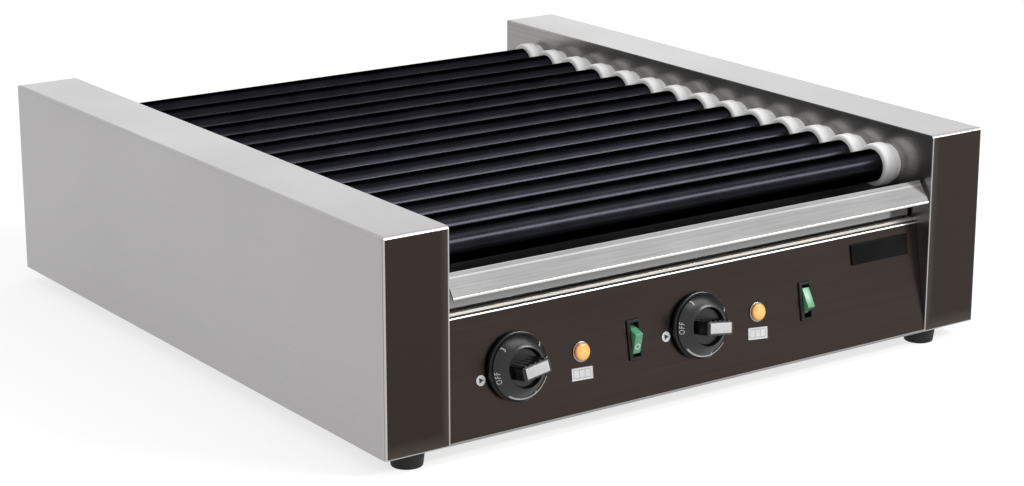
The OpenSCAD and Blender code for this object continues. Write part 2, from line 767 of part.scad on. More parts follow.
// Two lines of link plates, with the chain's rollers between them
module drive_chain() {
    roller_l = 2*link_side + link_t;
    color([0.3, 0.3, 0.32]) in_frame() translate([x_sprocket, 0, 0]) rotate([90, 0, 90]) {
        for (side = [link_side, -link_side - link_t]) translate([0, 0, side]) linear_extrude(link_t) difference() {
            belt_outline(pitch_r + link_h/2);
            belt_outline(pitch_r - link_h/2);
        }
        for (s = [0:chain_links - 1]) translate(concat(chain_point(s), -roller_l/2))
            cylinder(d = chain_roller_d, h = roller_l, $fn = 24);
    }
}

// Drip tray

module drip_tray() {
    floor_z = z_tray + tray_t;
    lip_z = z_tray + ridge_h - lip_drop;
    path = [[ridge_y - lip_reach, lip_z - hem_h], [ridge_y - lip_reach, lip_z], [ridge_y, z_tray + ridge_h],
            [tray_front_y, z_tray + ridge_h - ridge_back_drop], [tray_front_y, floor_z],
            [tray_back_y, floor_z], [tray_back_y, z_tray_wall]];
    color([0.72, 0.72, 0.73]) in_frame() {
        folded_sheet(path, tray_t, tray_half_w);
        both_sides() translate([tray_half_w - tray_t, tray_front_y - tray_t, z_tray])
            cube([tray_t, tray_back_y - tray_front_y + 2*tray_t, tray_wall_h]);
    }
}

// Angles on the side plates that the tray slides on
module tray_runners() {
    y0 = tray_front_y + runner_set_back;
    l = body_d - flange_w - y0;
    color("darkgray") in_frame() both_sides() {
        translate([x_in - runner_w, y0, z_runner - runner_t]) cube([runner_w, l, runner_t]);
        translate([x_in - runner_t, y0, z_runner - runner_h]) cube([runner_t, l, runner_h]);
    }
}

// Controls

module thermostats() {
    bore_r = stem_d/2 + running_fit;
    color([0.75, 0.72, 0.65]) in_frame() for (x = knob_xs) on_panel(x, control_s) difference() {
        union() {
            translate([-thermostat_w/2, -thermostat_w/2, -sheet_t - thermostat_l])
                cube([thermostat_w, thermostat_w, thermostat_l]);
            translate([0, 0, -sheet_t]) cylinder(r = stem_hole_r, h = sheet_t + knob_gap/2);
        }
        translate([0, 0, -sheet_t - stem_in - fit_gap]) cylinder(r = bore_r, h = stem_in + sheet_t + knob_gap + cut);
    }
}

// Round bar with a flat along its knob end
module keyed_bar(r, z0, z1, flat_z) {
    difference() {
        translate([0, 0, z0]) cylinder(r = r, h = z1 - z0);
        translate([-r, r - stem_flat, flat_z]) cube([2*r, r, z1 - flat_z + cut]);
    }
}

module thermostat_shaft(x, turn) {
    color("silver") in_frame() on_panel(x, control_s) rotate(turn)
        keyed_bar(stem_d/2, -sheet_t - stem_in, knob_gap + stem_l, knob_gap);
}

module left_thermostat_shaft() {
    thermostat_shaft(left_knob_x, left_knob_turn);
}

module right_thermostat_shaft() {
    thermostat_shaft(right_knob_x, right_knob_turn);
}

// Rim, dished cone and grip bar of a knob, with a keyed socket for the shaft and a pocket for the insert
module knob(x, turn) {
    rim_z = knob_gap + rim_h;
    step_z = rim_z + step_h;
    cone_z = step_z + cone_h;
    crown_z = cone_z + crown_h;
    floor_z = crown_z - dish_h;
    color([0.06, 0.06, 0.07]) in_frame() on_panel(x, control_s) rotate(turn) difference() {
        union() {
            rotate_extrude() polygon([[0, knob_gap], [knob_d/2, knob_gap], [knob_d/2, rim_z],
                                      [cone_d/2, rim_z], [cone_d/2, step_z], [cone_top_d/2, cone_z],
                                      [dish_d/2, crown_z], [dish_floor_d/2, floor_z], [0, floor_z]]);
            translate([-grip_l/2, -grip_w/2, rim_z]) cube([grip_l, grip_w, knob_h - rim_z]);
        }
        keyed_bar(stem_d/2 + press_fit, knob_gap - cut, knob_gap + stem_l + fit_gap, knob_gap - cut);
        translate([-insert_l/2 - press_fit, -insert_w/2 - press_fit, knob_h - insert_sunk])
            cube([insert_l + 2*press_fit, insert_w + 2*press_fit, insert_sunk + cut]);
    }
}

module left_knob() {
    knob(left_knob_x, left_knob_turn);
}

module right_knob() {
    knob(right_knob_x, right_knob_turn);
}

module knob_insert(x, turn) {
    color("white") in_frame() on_panel(x, control_s) rotate(turn)
        translate([-insert_l/2, -insert_w/2, knob_h - insert_sunk])
            cube([insert_l, insert_w, insert_sunk + insert_proud]);
}

module left_knob_insert() {
    knob_insert(left_knob_x, left_knob_turn);
}

module right_knob_insert() {
    knob_insert(right_knob_x, right_knob_turn);
}

module pilot_lamp_bezels() {
    color("silver") in_frame() for (x = knob_xs) on_panel(x + lamp_dx, control_s) difference() {
        union() {
            cylinder(d1 = bezel_d, d2 = bezel_d - 2*bezel_slope, h = bezel_h);
            translate([0, 0, -barrel_l]) cylinder(r = barrel_r, h = barrel_l);
        }
        translate([0, 0, -barrel_l - cut]) cylinder(r = barrel_r - barrel_wall, h = barrel_l + bezel_h + 2*cut);
    }
}

// Amber lens with a rounded front, on a stem in its bezel
module pilot_lamp_lenses() {
    r = lens_d/2;
    color("orange") in_frame() for (x = knob_xs) on_panel(x + lamp_dx, control_s) {
        translate([0, 0, -barrel_l/2]) cylinder(r = barrel_r - barrel_wall - press_fit, h = barrel_l/2 + bezel_h);
        translate([0, 0, bezel_h]) rotate_extrude() {
            square([r, lens_h - lens_round]);
            square([r - lens_round, lens_h]);
            translate([r - lens_round, lens_h - lens_round]) intersection() {
                circle(lens_round);
                square(lens_round);
            }
        }
    }
}

module switch_housings() {
    floor_n = -pivot_depth - well_depth;
    color([0.05, 0.05, 0.05]) in_frame() for (x = knob_xs) on_panel(x + rocker_dx, control_s) difference() {
        union() {
            translate([-switch_w/2, -switch_h/2, 0]) cube([switch_w, switch_h, switch_rim]);
            translate([-switch_body_w/2, -switch_body_h/2, -switch_l])
                cube([switch_body_w, switch_body_h, switch_l]);
        }
        translate([-well_w/2, -well_h/2, floor_n]) cube([well_w, well_h, switch_rim - floor_n + cut]);
        translate([-well_w/2 - pivot_l, 0, -pivot_depth]) rotate([0, 90, 0])
            cylinder(r = pivot_d/2 + running_fit, h = well_w + 2*pivot_l);
    }
}

// Paddle with two faces that meet in a ridge and a stub pin on each side, tilted about its pivot
module rocker(x, tilt) {
    fall = tan(paddle_slope);
    side = paddle_h*fall;
    edge_y = (side + sqrt(max(0, side*side - (1 + fall*fall)*(paddle_h*paddle_h - paddle_reach*paddle_reach))))
        /(1 + fall*fall);
    edge_h = paddle_h - fall*edge_y;
    pin_l = paddle_w + 2*pivot_l;
    in_frame() on_panel(x + rocker_dx, control_s) translate([0, 0, -pivot_depth]) rotate([tilt, 0, 0]) {
        translate([-paddle_w/2, 0, 0]) rotate([90, 0, 90]) linear_extrude(paddle_w)
            polygon([[paddle_under_l, -paddle_under], [edge_y, edge_h], [0, paddle_h], [-edge_y, edge_h],
                     [-paddle_under_l, -paddle_under]]);
        translate([-pin_l/2, 0, 0]) rotate([0, 90, 0]) cylinder(d = pivot_d, h = pin_l);
    }
}

// On: pressed at the top
module left_rocker() {
    color([0.25, 0.6, 0.42]) rocker(left_knob_x, -paddle_tilt);
}

// Off: pressed at the bottom
module right_rocker() {
    color([0.25, 0.6, 0.42]) rocker(right_knob_x, paddle_tilt);
}

module name_plate() {
    color([0.05, 0.05, 0.05]) in_frame() on_panel(plate_x, plate_s)
        translate([-plate_w/2, -plate_h/2, 0]) cube([plate_w, plate_h, name_plate_t]);
}

// Bush through the rear panel, bored for the mains cord
module cable_gland() {
    bore_r = gland_bore_d/2;
    neck_r = bore_r + gland_wall;
    nut_z = -sheet_t - gland_nut_t;
    color([0.05, 0.05, 0.05]) in_frame() translate([gland_x, body_d, z_pan + gland_z]) rotate([-90, 0, 0])
        rotate_extrude() polygon([
            [bore_r, nut_z], [gland_d/2, nut_z], [gland_d/2, -sheet_t], [neck_r, -sheet_t], [neck_r, 0],
            [gland_d/2, 0], [gland_d/2, gland_flange_t], [neck_r, gland_flange_t],
            [bore_r + gland_tip_wall, gland_out], [bore_r, gland_out]]);
}

base_pan();
left_side_plate();
right_side_plate();
left_outer_cover();
right_outer_cover();
front_panel();
rear_panel();
feet();
screws();
roller_bushes();
heating_elements();
heater_supports();
gear_motor();
motor_bracket();
drive_sprocket();
drive_chain();
drip_tray();
tray_runners();
thermostats();
left_thermostat_shaft();
right_thermostat_shaft();
left_knob();
right_knob();
left_knob_insert();
right_knob_insert();
pilot_lamp_bezels();
pilot_lamp_lenses();
switch_housings();
left_rocker();
right_rocker();
name_plate();
cable_gland();
for (i = roller_numbers) {
    roller_tube(i);
    roller_sprocket(i);
}
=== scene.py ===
import math
import bpy
from mathutils import Matrix, Vector


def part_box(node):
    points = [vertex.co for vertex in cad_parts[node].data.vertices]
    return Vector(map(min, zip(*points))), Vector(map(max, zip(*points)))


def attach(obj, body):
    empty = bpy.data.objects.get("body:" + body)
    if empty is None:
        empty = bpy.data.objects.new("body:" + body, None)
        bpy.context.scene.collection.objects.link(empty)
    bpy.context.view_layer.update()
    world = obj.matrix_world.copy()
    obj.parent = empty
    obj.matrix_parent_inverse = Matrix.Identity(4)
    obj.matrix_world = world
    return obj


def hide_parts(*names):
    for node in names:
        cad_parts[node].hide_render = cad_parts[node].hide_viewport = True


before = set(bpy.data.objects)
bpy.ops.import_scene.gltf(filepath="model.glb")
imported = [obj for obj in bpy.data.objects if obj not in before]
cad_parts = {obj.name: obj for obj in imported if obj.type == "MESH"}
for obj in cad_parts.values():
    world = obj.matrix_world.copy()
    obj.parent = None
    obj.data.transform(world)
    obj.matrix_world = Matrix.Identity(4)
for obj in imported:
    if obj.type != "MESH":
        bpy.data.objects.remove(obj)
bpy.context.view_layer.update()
bpy.ops.object.select_all(action="DESELECT")

# Camera
# Stands to the left of the grill and a little above it, at the photograph's own place,
# turn and tilt. The lens gives the photograph's frame of 1024 by 486.
bpy.ops.object.camera_add()
camera = bpy.context.object
camera_place = Matrix.Translation((-1.1941, -1.739964, 0.6620))
camera_turn = Matrix.Rotation(math.radians(-35.117), 4, "Z")
camera_tilt = Matrix.Rotation(math.radians(90 - 15.991), 4, "X")
camera_roll = Matrix.Rotation(math.radians(0.036), 4, "Z")
camera.matrix_world = camera_place @ camera_turn @ camera_tilt @ camera_roll
camera.data.sensor_fit = "HORIZONTAL"
camera.data.sensor_width = 36
camera.data.lens = 89.78
camera.data.clip_start = 0.05
bpy.context.scene.camera = camera
bpy.context.scene.view_settings.view_transform = "Standard"

# Studio
# A white floor with soft shadows in a white room. A large soft lamp in front on the right draws a
# streak along each roller, a strip above the front lights the knobs, and one behind lights the tops.
def start_material(name):
    material = bpy.data.materials.new(name)
    material.use_nodes = True
    nodes = material.node_tree.nodes
    shader = nodes["Principled BSDF"]
    place = nodes.new("ShaderNodeTexCoord")
    return material, nodes, material.node_tree.links, shader, place.outputs["Object"]


def rays_of_the_view(nodes, links):
    path = nodes.new("ShaderNodeLightPath")
    direct = nodes.new("ShaderNodeMath")
    direct.operation = "ADD"
    links.new(path.outputs["Is Camera Ray"], direct.inputs[0])
    links.new(path.outputs["Is Glossy Ray"], direct.inputs[1])
    seen = nodes.new("ShaderNodeMath")
    seen.operation = "ADD"
    seen.use_clamp = True
    links.new(direct.outputs[0], seen.inputs[0])
    links.new(path.outputs["Is Transmission Ray"], seen.inputs[1])
    return seen.outputs[0]


bpy.ops.mesh.primitive_plane_add(size=24, location=(0, 4, 0))
floor = bpy.context.object
floor.name = "studio_floor"
floor_white, nodes, links, shader, place = start_material("floor_white")
shader.inputs["Base Color"].default_value = (0.45, 0.45, 0.45, 1)
shader.inputs["Roughness"].default_value = 0.9
shader.inputs["Specular IOR Level"].default_value = 0
shader.inputs["Emission Color"].default_value = (1, 1, 1, 1)
floor_glow = nodes.new("ShaderNodeMath")
floor_glow.operation = "MULTIPLY"
floor_glow.inputs[1].default_value = 0.7
links.new(rays_of_the_view(nodes, links), floor_glow.inputs[0])
links.new(floor_glow.outputs[0], shader.inputs["Emission Strength"])
floor.data.materials.append(floor_white)

world = bpy.data.worlds.new("white_room")
bpy.context.scene.world = world
world.use_nodes = True
nodes = world.node_tree.nodes
links = world.node_tree.links
room = nodes["Background"]
room.inputs["Color"].default_value = (1, 1, 1, 1)
room_light = nodes.new("ShaderNodeMapRange")
room_light.inputs["To Min"].default_value = 0.6
room_light.inputs["To Max"].default_value = 1
links.new(rays_of_the_view(nodes, links), room_light.inputs["Value"])
links.new(room_light.outputs["Result"], room.inputs["Strength"])


def soft_lamp(name, place, aim, width, height, power):
    bpy.ops.object.light_add(type="AREA", location=place)
    lamp = bpy.context.object
    lamp.name = name
    lamp.data.shape = "RECTANGLE"
    lamp.data.size = width
    lamp.data.size_y = height
    lamp.data.energy = power
    lamp.rotation_euler = (Vector(aim) - Vector(place)).to_track_quat("-Z", "Y").to_euler()


soft_lamp("front_lamp", (1.78, -2.08, 1.70), (1.78, 0, 0.12), 1.7, 0.5, 54)
soft_lamp("strip_lamp", (0.25, -0.46, 0.78), (0.25, -0.36, 0.05), 1.0, 0.25, 2)
soft_lamp("back_lamp", (1.7, 2.4, 1.0), (0, 0, 0.15), 2.4, 1.0, 3)

# Base pan and the plates that stand on it
# The pan, the two inner side plates, the rear panel and the tray runners are satin steel,
# folded from sheet, ground along their length, and screwed together through their flanges.
mm = 0.001
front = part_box("left_outer_cover")[0].y
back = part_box("left_outer_cover")[1].y
pan_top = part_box("base_pan")[1].z
scratch_depth = 0.02 * mm


def brushed_streaks():
    group = bpy.data.node_groups.new("brushed_streaks", "ShaderNodeTree")
    sockets = group.interface
    sockets.new_socket("Position", in_out="INPUT", socket_type="NodeSocketVector")
    sockets.new_socket("Stretch", in_out="INPUT", socket_type="NodeSocketVector")
    sockets.new_socket("Cloud Scale", in_out="INPUT", socket_type="NodeSocketFloat")
    sockets.new_socket("Streak", in_out="OUTPUT", socket_type="NodeSocketFloat")
    sockets.new_socket("Cloud", in_out="OUTPUT", socket_type="NodeSocketFloat")
    nodes = group.nodes
    links = group.links
    given = nodes.new("NodeGroupInput")
    result = nodes.new("NodeGroupOutput")
    stretched = nodes.new("ShaderNodeVectorMath")
    stretched.operation = "MULTIPLY"
    links.new(given.outputs["Position"], stretched.inputs[0])
    links.new(given.outputs["Stretch"], stretched.inputs[1])
    grain = nodes.new("ShaderNodeTexNoise")
    grain.inputs["Scale"].default_value = 1
    grain.inputs["Detail"].default_value = 4
    grain.inputs["Roughness"].default_value = 0.65
    links.new(stretched.outputs["Vector"], grain.inputs["Vector"])
    cloud = nodes.new("ShaderNodeTexNoise")
    cloud.inputs["Detail"].default_value = 2
    links.new(given.outputs["Position"], cloud.inputs["Vector"])
    links.new(given.outputs["Cloud Scale"], cloud.inputs["Scale"])
    links.new(grain.outputs["Fac"], result.inputs["Streak"])
    links.new(cloud.outputs["Fac"], result.inputs["Cloud"])
    return group


streaks_group = brushed_streaks()


def place_streaks(nodes, links, place, stretch, cloud_scale=9):
    streaks = nodes.new("ShaderNodeGroup")
    streaks.node_tree = streaks_group
    streaks.inputs["Stretch"].default_value = stretch
    streaks.inputs["Cloud Scale"].default_value = cloud_scale
    links.new(place, streaks.inputs["Position"])
    return streaks


def spread(nodes, links, value, low, high, start=0.3, end=0.7):
    stretch = nodes.new("ShaderNodeMapRange")
    stretch.inputs["From Min"].default_value = start
    stretch.inputs["From Max"].default_value = end
    stretch.inputs["To Min"].default_value = low
    stretch.inputs["To Max"].default_value = high
    links.new(value, stretch.inputs["Value"])
    return stretch.outputs["Result"]


def blend_colours(nodes, links, share, dark, light):
    mix = nodes.new("ShaderNodeMix")
    mix.data_type = "RGBA"
    links.new(share, mix.inputs["Factor"])
    for socket, colour in ((mix.inputs["A"], dark), (mix.inputs["B"], light)):
        if isinstance(colour, tuple):
            socket.default_value = (*colour, 1)
        else:
            links.new(colour, socket)
    return mix.outputs["Result"]


def relief(nodes, links, height, strength, distance, shader):
    bump = nodes.new("ShaderNodeBump")
    bump.inputs["Strength"].default_value = strength
    bump.inputs["Distance"].default_value = distance
    links.new(height, bump.inputs["Height"])
    links.new(bump.outputs["Normal"], shader.inputs["Normal"])


def brushed_metal(name, dark, light, stretch, smooth, rough, cloud_scale=9):
    material, nodes, links, shader, place = start_material(name)
    shader.inputs["Metallic"].default_value = 1
    streaks = place_streaks(nodes, links, place, stretch, cloud_scale)
    tone = spread(nodes, links, streaks.outputs["Streak"], 0, 1)
    links.new(blend_colours(nodes, links, tone, dark, light), shader.inputs["Base Color"])
    links.new(spread(nodes, links, streaks.outputs["Cloud"], smooth, rough), shader.inputs["Roughness"])
    relief(nodes, links, streaks.outputs["Streak"], 0.12, scratch_depth, shader)
    return material


def finish_node(name, material):
    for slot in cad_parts[name].material_slots:
        slot.material = material


plate_steel = brushed_metal("plate_steel", (0.27, 0.26, 0.255), (0.33, 0.32, 0.31), (60, 6, 900),
                            0.27, 0.33)
for name in ("base_pan", "left_side_plate", "right_side_plate", "rear_panel", "tray_runners"):
    finish_node(name, plate_steel)

# Outer covers
# Outer side, top, front and back of each tower, folded from one sheet of satin stainless steel
# with small round folds. The front faces are painted dark, a painted reflection of dark surroundings,
# as the control panel is, and lighter towards the foot and the inner edge, a painted reflection too.
# Their edges are left at the plain steel colour. The outer front fold has a painted highlight, with a
# painted shade just behind it.
cover_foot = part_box("right_outer_cover")[0].z
cover_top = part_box("right_outer_cover")[1].z
cover_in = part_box("right_outer_cover")[0].x
cover_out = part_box("right_outer_cover")[1].x
slack = 0.2 * mm
foot_glow_h = 12 * mm
edge_glow_w = 8 * mm
bare_edge_w = 1.1 * mm
bare_hem_h = 0.8 * mm
fold_w = 2.2 * mm
fold_highlight_end = front + 1.1 * mm
fold_shade_end = front + 1.7 * mm


def band_of(nodes, links, value, low, high):
    band = nodes.new("ShaderNodeMath")
    band.operation = "COMPARE"
    band.inputs[1].default_value = (low + high) / 2
    band.inputs[2].default_value = (high - low) / 2
    links.new(value, band.inputs[0])
    return band.outputs[0]


def combine(nodes, links, operation, first, second):
    both = nodes.new("ShaderNodeMath")
    both.operation = operation
    links.new(first, both.inputs[0])
    links.new(second, both.inputs[1])
    return both.outputs[0]


cover_steel, nodes, links, shader, place = start_material("cover_steel")
shader.inputs["Metallic"].default_value = 1
streaks = place_streaks(nodes, links, place, (500, 14, 900), 5)
tone = spread(nodes, links, streaks.outputs["Streak"], 0, 1)
satin = blend_colours(nodes, links, tone, (0.41, 0.40, 0.405), (0.43, 0.42, 0.425))
parts = nodes.new("ShaderNodeSeparateXYZ")
links.new(place, parts.inputs["Vector"])
across = nodes.new("ShaderNodeMath")
across.operation = "ABSOLUTE"
links.new(parts.outputs["X"], across.inputs[0])
# Painted reflection: the front faces are dark, lighter towards the foot and the inner edge; the inner edge
# and the hem keep the plain steel colour.
painted_foot_glow = spread(nodes, links, parts.outputs["Z"], 1, 0, cover_foot, cover_foot + foot_glow_h)
painted_inner_glow = spread(nodes, links, across.outputs[0], 1, 0, cover_in, cover_in + edge_glow_w)
glow = combine(nodes, links, "MAXIMUM", painted_foot_glow, painted_inner_glow)
painted_dark_reflection = blend_colours(nodes, links, glow, (0.036, 0.028, 0.024), (0.070, 0.060, 0.054))
inner_edge = band_of(nodes, links, across.outputs[0], cover_in - slack, cover_in + bare_edge_w)
hem = band_of(nodes, links, parts.outputs["Z"], cover_foot - slack, cover_foot + bare_hem_h)
edges = combine(nodes, links, "MAXIMUM", inner_edge, hem)
face = blend_colours(nodes, links, edges, painted_dark_reflection, (0.42, 0.40, 0.39))
on_front = band_of(nodes, links, parts.outputs["Y"], front - slack, front + slack)
sides = blend_colours(nodes, links, on_front, satin, face)
# Painted highlight along the outer front fold, and a painted shade just behind it.
in_fold = band_of(nodes, links, parts.outputs["Y"], front + slack, fold_highlight_end)
at_side = band_of(nodes, links, across.outputs[0], cover_out - fold_w, cover_out + slack)
painted_fold_highlight = combine(nodes, links, "MULTIPLY", in_fold, at_side)
folded = blend_colours(nodes, links, painted_fold_highlight, sides, (0.48, 0.46, 0.455))
behind_fold = band_of(nodes, links, parts.outputs["Y"], fold_highlight_end, fold_shade_end)
painted_fold_shade = combine(nodes, links, "MULTIPLY", behind_fold, at_side)
links.new(blend_colours(nodes, links, painted_fold_shade, folded, (0.25, 0.24, 0.235)), shader.inputs["Base Color"])
links.new(spread(nodes, links, streaks.outputs["Cloud"], 0.27, 0.36), shader.inputs["Roughness"])
relief(nodes, links, streaks.outputs["Streak"], 0.05, scratch_depth, shader)
for name in ("left_outer_cover", "right_outer_cover"):
    finish_node(name, cover_steel)

# Front panel
# One sheet between the towers, leaning back, with a foot flange on the base pan and an upper fold.
# Its dark colour is a painted reflection of dark surroundings, and the upper fold has a painted
# highlight. It is cut out for the knobs' shafts, the lamps and the switches. A stepped strip is lapped
# under its fold and runs back under the tray. The strip's pale colour is a painted reflection, and
# its lowest edge keeps the dark colour as a painted shadow line.
panel_rise = 89.1 * mm
panel_back = 15.4 * mm
panel_lean = math.atan(panel_back / panel_rise)
foot_flange = 13 * mm
panel_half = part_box("front_panel")[1].x
sheet = 1.2 * mm
near = 0.02 * mm


def select_only(piece):
    bpy.ops.object.select_all(action="DESELECT")
    piece.select_set(True)
    bpy.context.view_layer.objects.active = piece


def put(piece, matrix):
    select_only(piece)
    piece.matrix_world = matrix
    bpy.ops.object.transform_apply(location=True, rotation=True, scale=True)


def draw_line(name, points):
    bpy.ops.object.select_all(action="DESELECT")
    bpy.ops.mesh.primitive_plane_add(size=mm, location=points[0])
    piece = bpy.context.object
    piece.name = name
    bpy.ops.object.transform_apply(location=True, rotation=True, scale=True)
    bpy.ops.object.mode_set(mode="EDIT")
    bpy.ops.mesh.select_all(action="SELECT")
    bpy.ops.mesh.merge(type="CENTER")
    for start, end in zip(points, points[1:]):
        step = Vector(end) - Vector(start)
        bpy.ops.mesh.extrude_region_move(TRANSFORM_OT_translate={"value": step})
    bpy.ops.mesh.select_all(action="SELECT")
    return piece


def select_vertices(piece, test):
    bpy.ops.mesh.select_all(action="DESELECT")
    bpy.ops.object.mode_set(mode="OBJECT")
    for vertex in piece.data.vertices:
        vertex.select = test(vertex.co)
    bpy.ops.object.mode_set(mode="EDIT")


def apply_modifier(piece, kind, **settings):
    select_only(piece)
    modifier = piece.modifiers.new("shape", kind)
    for key, value in settings.items():
        setattr(modifier, key, value)
    bpy.ops.object.modifier_apply(modifier="shape")


def cut_away(piece, cutter):
    apply_modifier(piece, "BOOLEAN", operation="DIFFERENCE", object=cutter, solver="EXACT")
    bpy.data.objects.remove(cutter)


def smooth_by_angle(degrees):
    bpy.ops.object.shade_smooth_by_angle(angle=math.radians(degrees))


def fold_sheet(name, path, folds, half_width, thickness):
    points = [(-half_width, y, z) for y, z in path]
    piece = draw_line(name, points)
    for corner, radius in folds:
        place = Vector(points[corner])
        select_vertices(piece, lambda co: (co - place).length < near)
        bpy.ops.mesh.bevel(offset=radius, segments=5, affect="VERTICES", offset_type="OFFSET")
    bpy.ops.mesh.select_all(action="SELECT")
    bpy.ops.mesh.extrude_region_move(TRANSFORM_OT_translate={"value": (2 * half_width, 0, 0)})
    bpy.ops.mesh.select_all(action="SELECT")
    bpy.ops.mesh.normals_make_consistent(inside=False)
    bpy.ops.object.mode_set(mode="OBJECT")
    start = Vector((0, *path[0]))
    along = Vector((0, *path[1])) - start
    middle = start + along / 2
    first = min(piece.data.polygons, key=lambda face: (face.center - middle).length)
    inward = Vector((0, along.z, -along.y))
    offset = -1 if first.normal.dot(inward) < 0 else 1
    apply_modifier(piece, "SOLIDIFY", thickness=thickness, offset=offset)
    bpy.ops.object.mode_set(mode="EDIT")
    bpy.ops.mesh.select_all(action="SELECT")
    bpy.ops.mesh.normals_make_consistent(inside=False)
    bpy.ops.object.mode_set(mode="OBJECT")
    smooth_by_angle(30)
    apply_modifier(piece, "WEIGHTED_NORMAL", keep_sharp=True)
    return piece


def join_pieces(pieces, name):
    bpy.ops.object.select_all(action="DESELECT")
    for piece in pieces:
        piece.select_set(True)
    bpy.context.view_layer.objects.active = pieces[0]
    bpy.ops.object.join()
    pieces[0].name = name
    return pieces[0]


panel_frame = Matrix.Translation((0, front, pan_top)) @ Matrix.Rotation(math.pi / 2 - panel_lean, 4, "X")


def on_panel(x, s, n=0):
    return panel_frame @ Matrix.Translation((x * mm, s * mm, n * mm))


row_s = 45.4
knob_xs = (-171.5, 0)
lamp_xs = (-112, 59.5)
switch_xs = (-61.5, 110)
shaft_hole_r = 5.2 * mm
lamp_hole_r = 6.5 * mm
switch_hole_w = 11.8 * mm
switch_hole_h = 29.6 * mm
cutter_depth = 10 * mm
top_edge = pan_top + panel_rise
fold_end = front + 17.3 * mm
panel_path = [(front + foot_flange, pan_top), (front, pan_top), (front + panel_back, top_edge),
              (fold_end, top_edge)]
panel_folds = [(1, 0.8 * mm), (2, 1.6 * mm)]
lap = top_edge - sheet
step_y = front + 19.6 * mm
step_top = top_edge + 1.6 * mm
strip_path = [(front + 16.6 * mm, lap), (step_y, lap), (step_y + 1.0 * mm, step_top),
              (front + 24.5 * mm, step_top)]
strip_folds = [(1, 0.3 * mm), (2, 0.3 * mm)]
panel = fold_sheet("control_panel", panel_path, panel_folds, panel_half, sheet)
for x, radius in [(x, shaft_hole_r) for x in knob_xs] + [(x, lamp_hole_r) for x in lamp_xs]:
    bpy.ops.mesh.primitive_cylinder_add(vertices=40, radius=radius, depth=cutter_depth)
    cutter = bpy.context.object
    put(cutter, on_panel(x, row_s))
    cut_away(panel, cutter)
for x in switch_xs:
    bpy.ops.mesh.primitive_cube_add(size=1)
    cutter = bpy.context.object
    put(cutter, on_panel(x, row_s) @ Matrix.Diagonal((switch_hole_w, switch_hole_h, cutter_depth, 1)))
    cut_away(panel, cutter)
lapped_strip = fold_sheet("lapped_strip", strip_path, strip_folds, panel_half, sheet)
panel = join_pieces([panel, lapped_strip], "control_panel")
panel_steel, nodes, links, shader, place = start_material("panel_steel")
streaks = place_streaks(nodes, links, place, (8, 500, 900), 7)
tone = spread(nodes, links, streaks.outputs["Streak"], 0, 1)
# The panel's dark colour is a painted reflection of dark surroundings.
painted_dark_reflection = blend_colours(nodes, links, tone, (0.040, 0.031, 0.027), (0.047, 0.037, 0.033))
parts = nodes.new("ShaderNodeSeparateXYZ")
links.new(place, parts.inputs["Vector"])
# Painted highlight on the upper fold.
top_fold_highlight_zs = (lap - 0.4 * mm, top_edge + slack)
top_fold_highlight_ys = (front + 8 * mm, front + 17.35 * mm)
# The strip's pale colour is a painted reflection; its flat foot and the lowest edge of its wall keep the
# dark colour as a painted shadow line.
pale_reflection_zs = (lap + 0.75 * mm, step_top + slack)
pale_reflection_ys = (front + 17.4 * mm, front + 30 * mm)
matt_ys = (step_y + 1.1 * mm, step_y + 12 * mm)
top_fold_highlight_z = band_of(nodes, links, parts.outputs["Z"], *top_fold_highlight_zs)
top_fold_highlight_y = band_of(nodes, links, parts.outputs["Y"], *top_fold_highlight_ys)
painted_top_fold_highlight = combine(nodes, links, "MULTIPLY", top_fold_highlight_z, top_fold_highlight_y)
with_top_fold_highlight = blend_colours(nodes, links, painted_top_fold_highlight, painted_dark_reflection, (0.75, 0.74, 0.72))
pale_reflection_z = band_of(nodes, links, parts.outputs["Z"], *pale_reflection_zs)
pale_reflection_y = band_of(nodes, links, parts.outputs["Y"], *pale_reflection_ys)
painted_pale_reflection = combine(nodes, links, "MULTIPLY", pale_reflection_z, pale_reflection_y)
links.new(blend_colours(nodes, links, painted_pale_reflection, with_top_fold_highlight, (0.62, 0.585, 0.54)), shader.inputs["Base Color"])
matt_y = band_of(nodes, links, parts.outputs["Y"], *matt_ys)
matt = combine(nodes, links, "MULTIPLY", matt_y, painted_pale_reflection)
links.new(spread(nodes, links, matt, 1, 0, 0, 1), shader.inputs["Metallic"])
links.new(spread(nodes, links, streaks.outputs["Cloud"], 0.24, 0.34), shader.inputs["Roughness"])
relief(nodes, links, streaks.outputs["Streak"], 0.08, scratch_depth, shader)
panel.data.materials.append(panel_steel)
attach(panel, "housing")
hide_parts("front_panel")

# Feet
# Four round black rubber feet, a little wider at the top, with a rounded floor edge and a
# counterbore for the screw that holds each of them to the base pan.
foot_h = 13
foot_bore = 2.2
foot_seat = 8
foot_in = 16.5 * mm
foot_x = 244.4 * mm
left_front_foot_x = -261.4 * mm
weld = 0.001 * mm
grain_depth = 0.05 * mm


def lathe(name, profile, steps=48, smooth_angle=35):
    piece = draw_line(name, [(r * mm, 0, z * mm) for r, z in profile])
    bpy.ops.mesh.spin(steps=steps, angle=2 * math.pi, center=(0, 0, 0), axis=(0, 0, 1))
    bpy.ops.mesh.select_all(action="SELECT")
    bpy.ops.mesh.remove_doubles(threshold=weld)
    bpy.ops.mesh.normals_make_consistent(inside=False)
    bpy.ops.object.mode_set(mode="OBJECT")
    smooth_by_angle(smooth_angle)
    return piece


def arc(centre_r, centre_z, radius, start, end, steps=5):
    angles = [math.radians(start + (end - start) * k / steps) for k in range(steps + 1)]
    return [(centre_r + radius * math.cos(a), centre_z + radius * math.sin(a)) for a in angles]


def copy_to(pattern, matrices, name):
    made = []
    for matrix in matrices:
        select_only(pattern)
        bpy.ops.object.duplicate()
        copy = bpy.context.object
        put(copy, matrix)
        made.append(copy)
    bpy.data.objects.remove(pattern)
    return join_pieces(made, name)


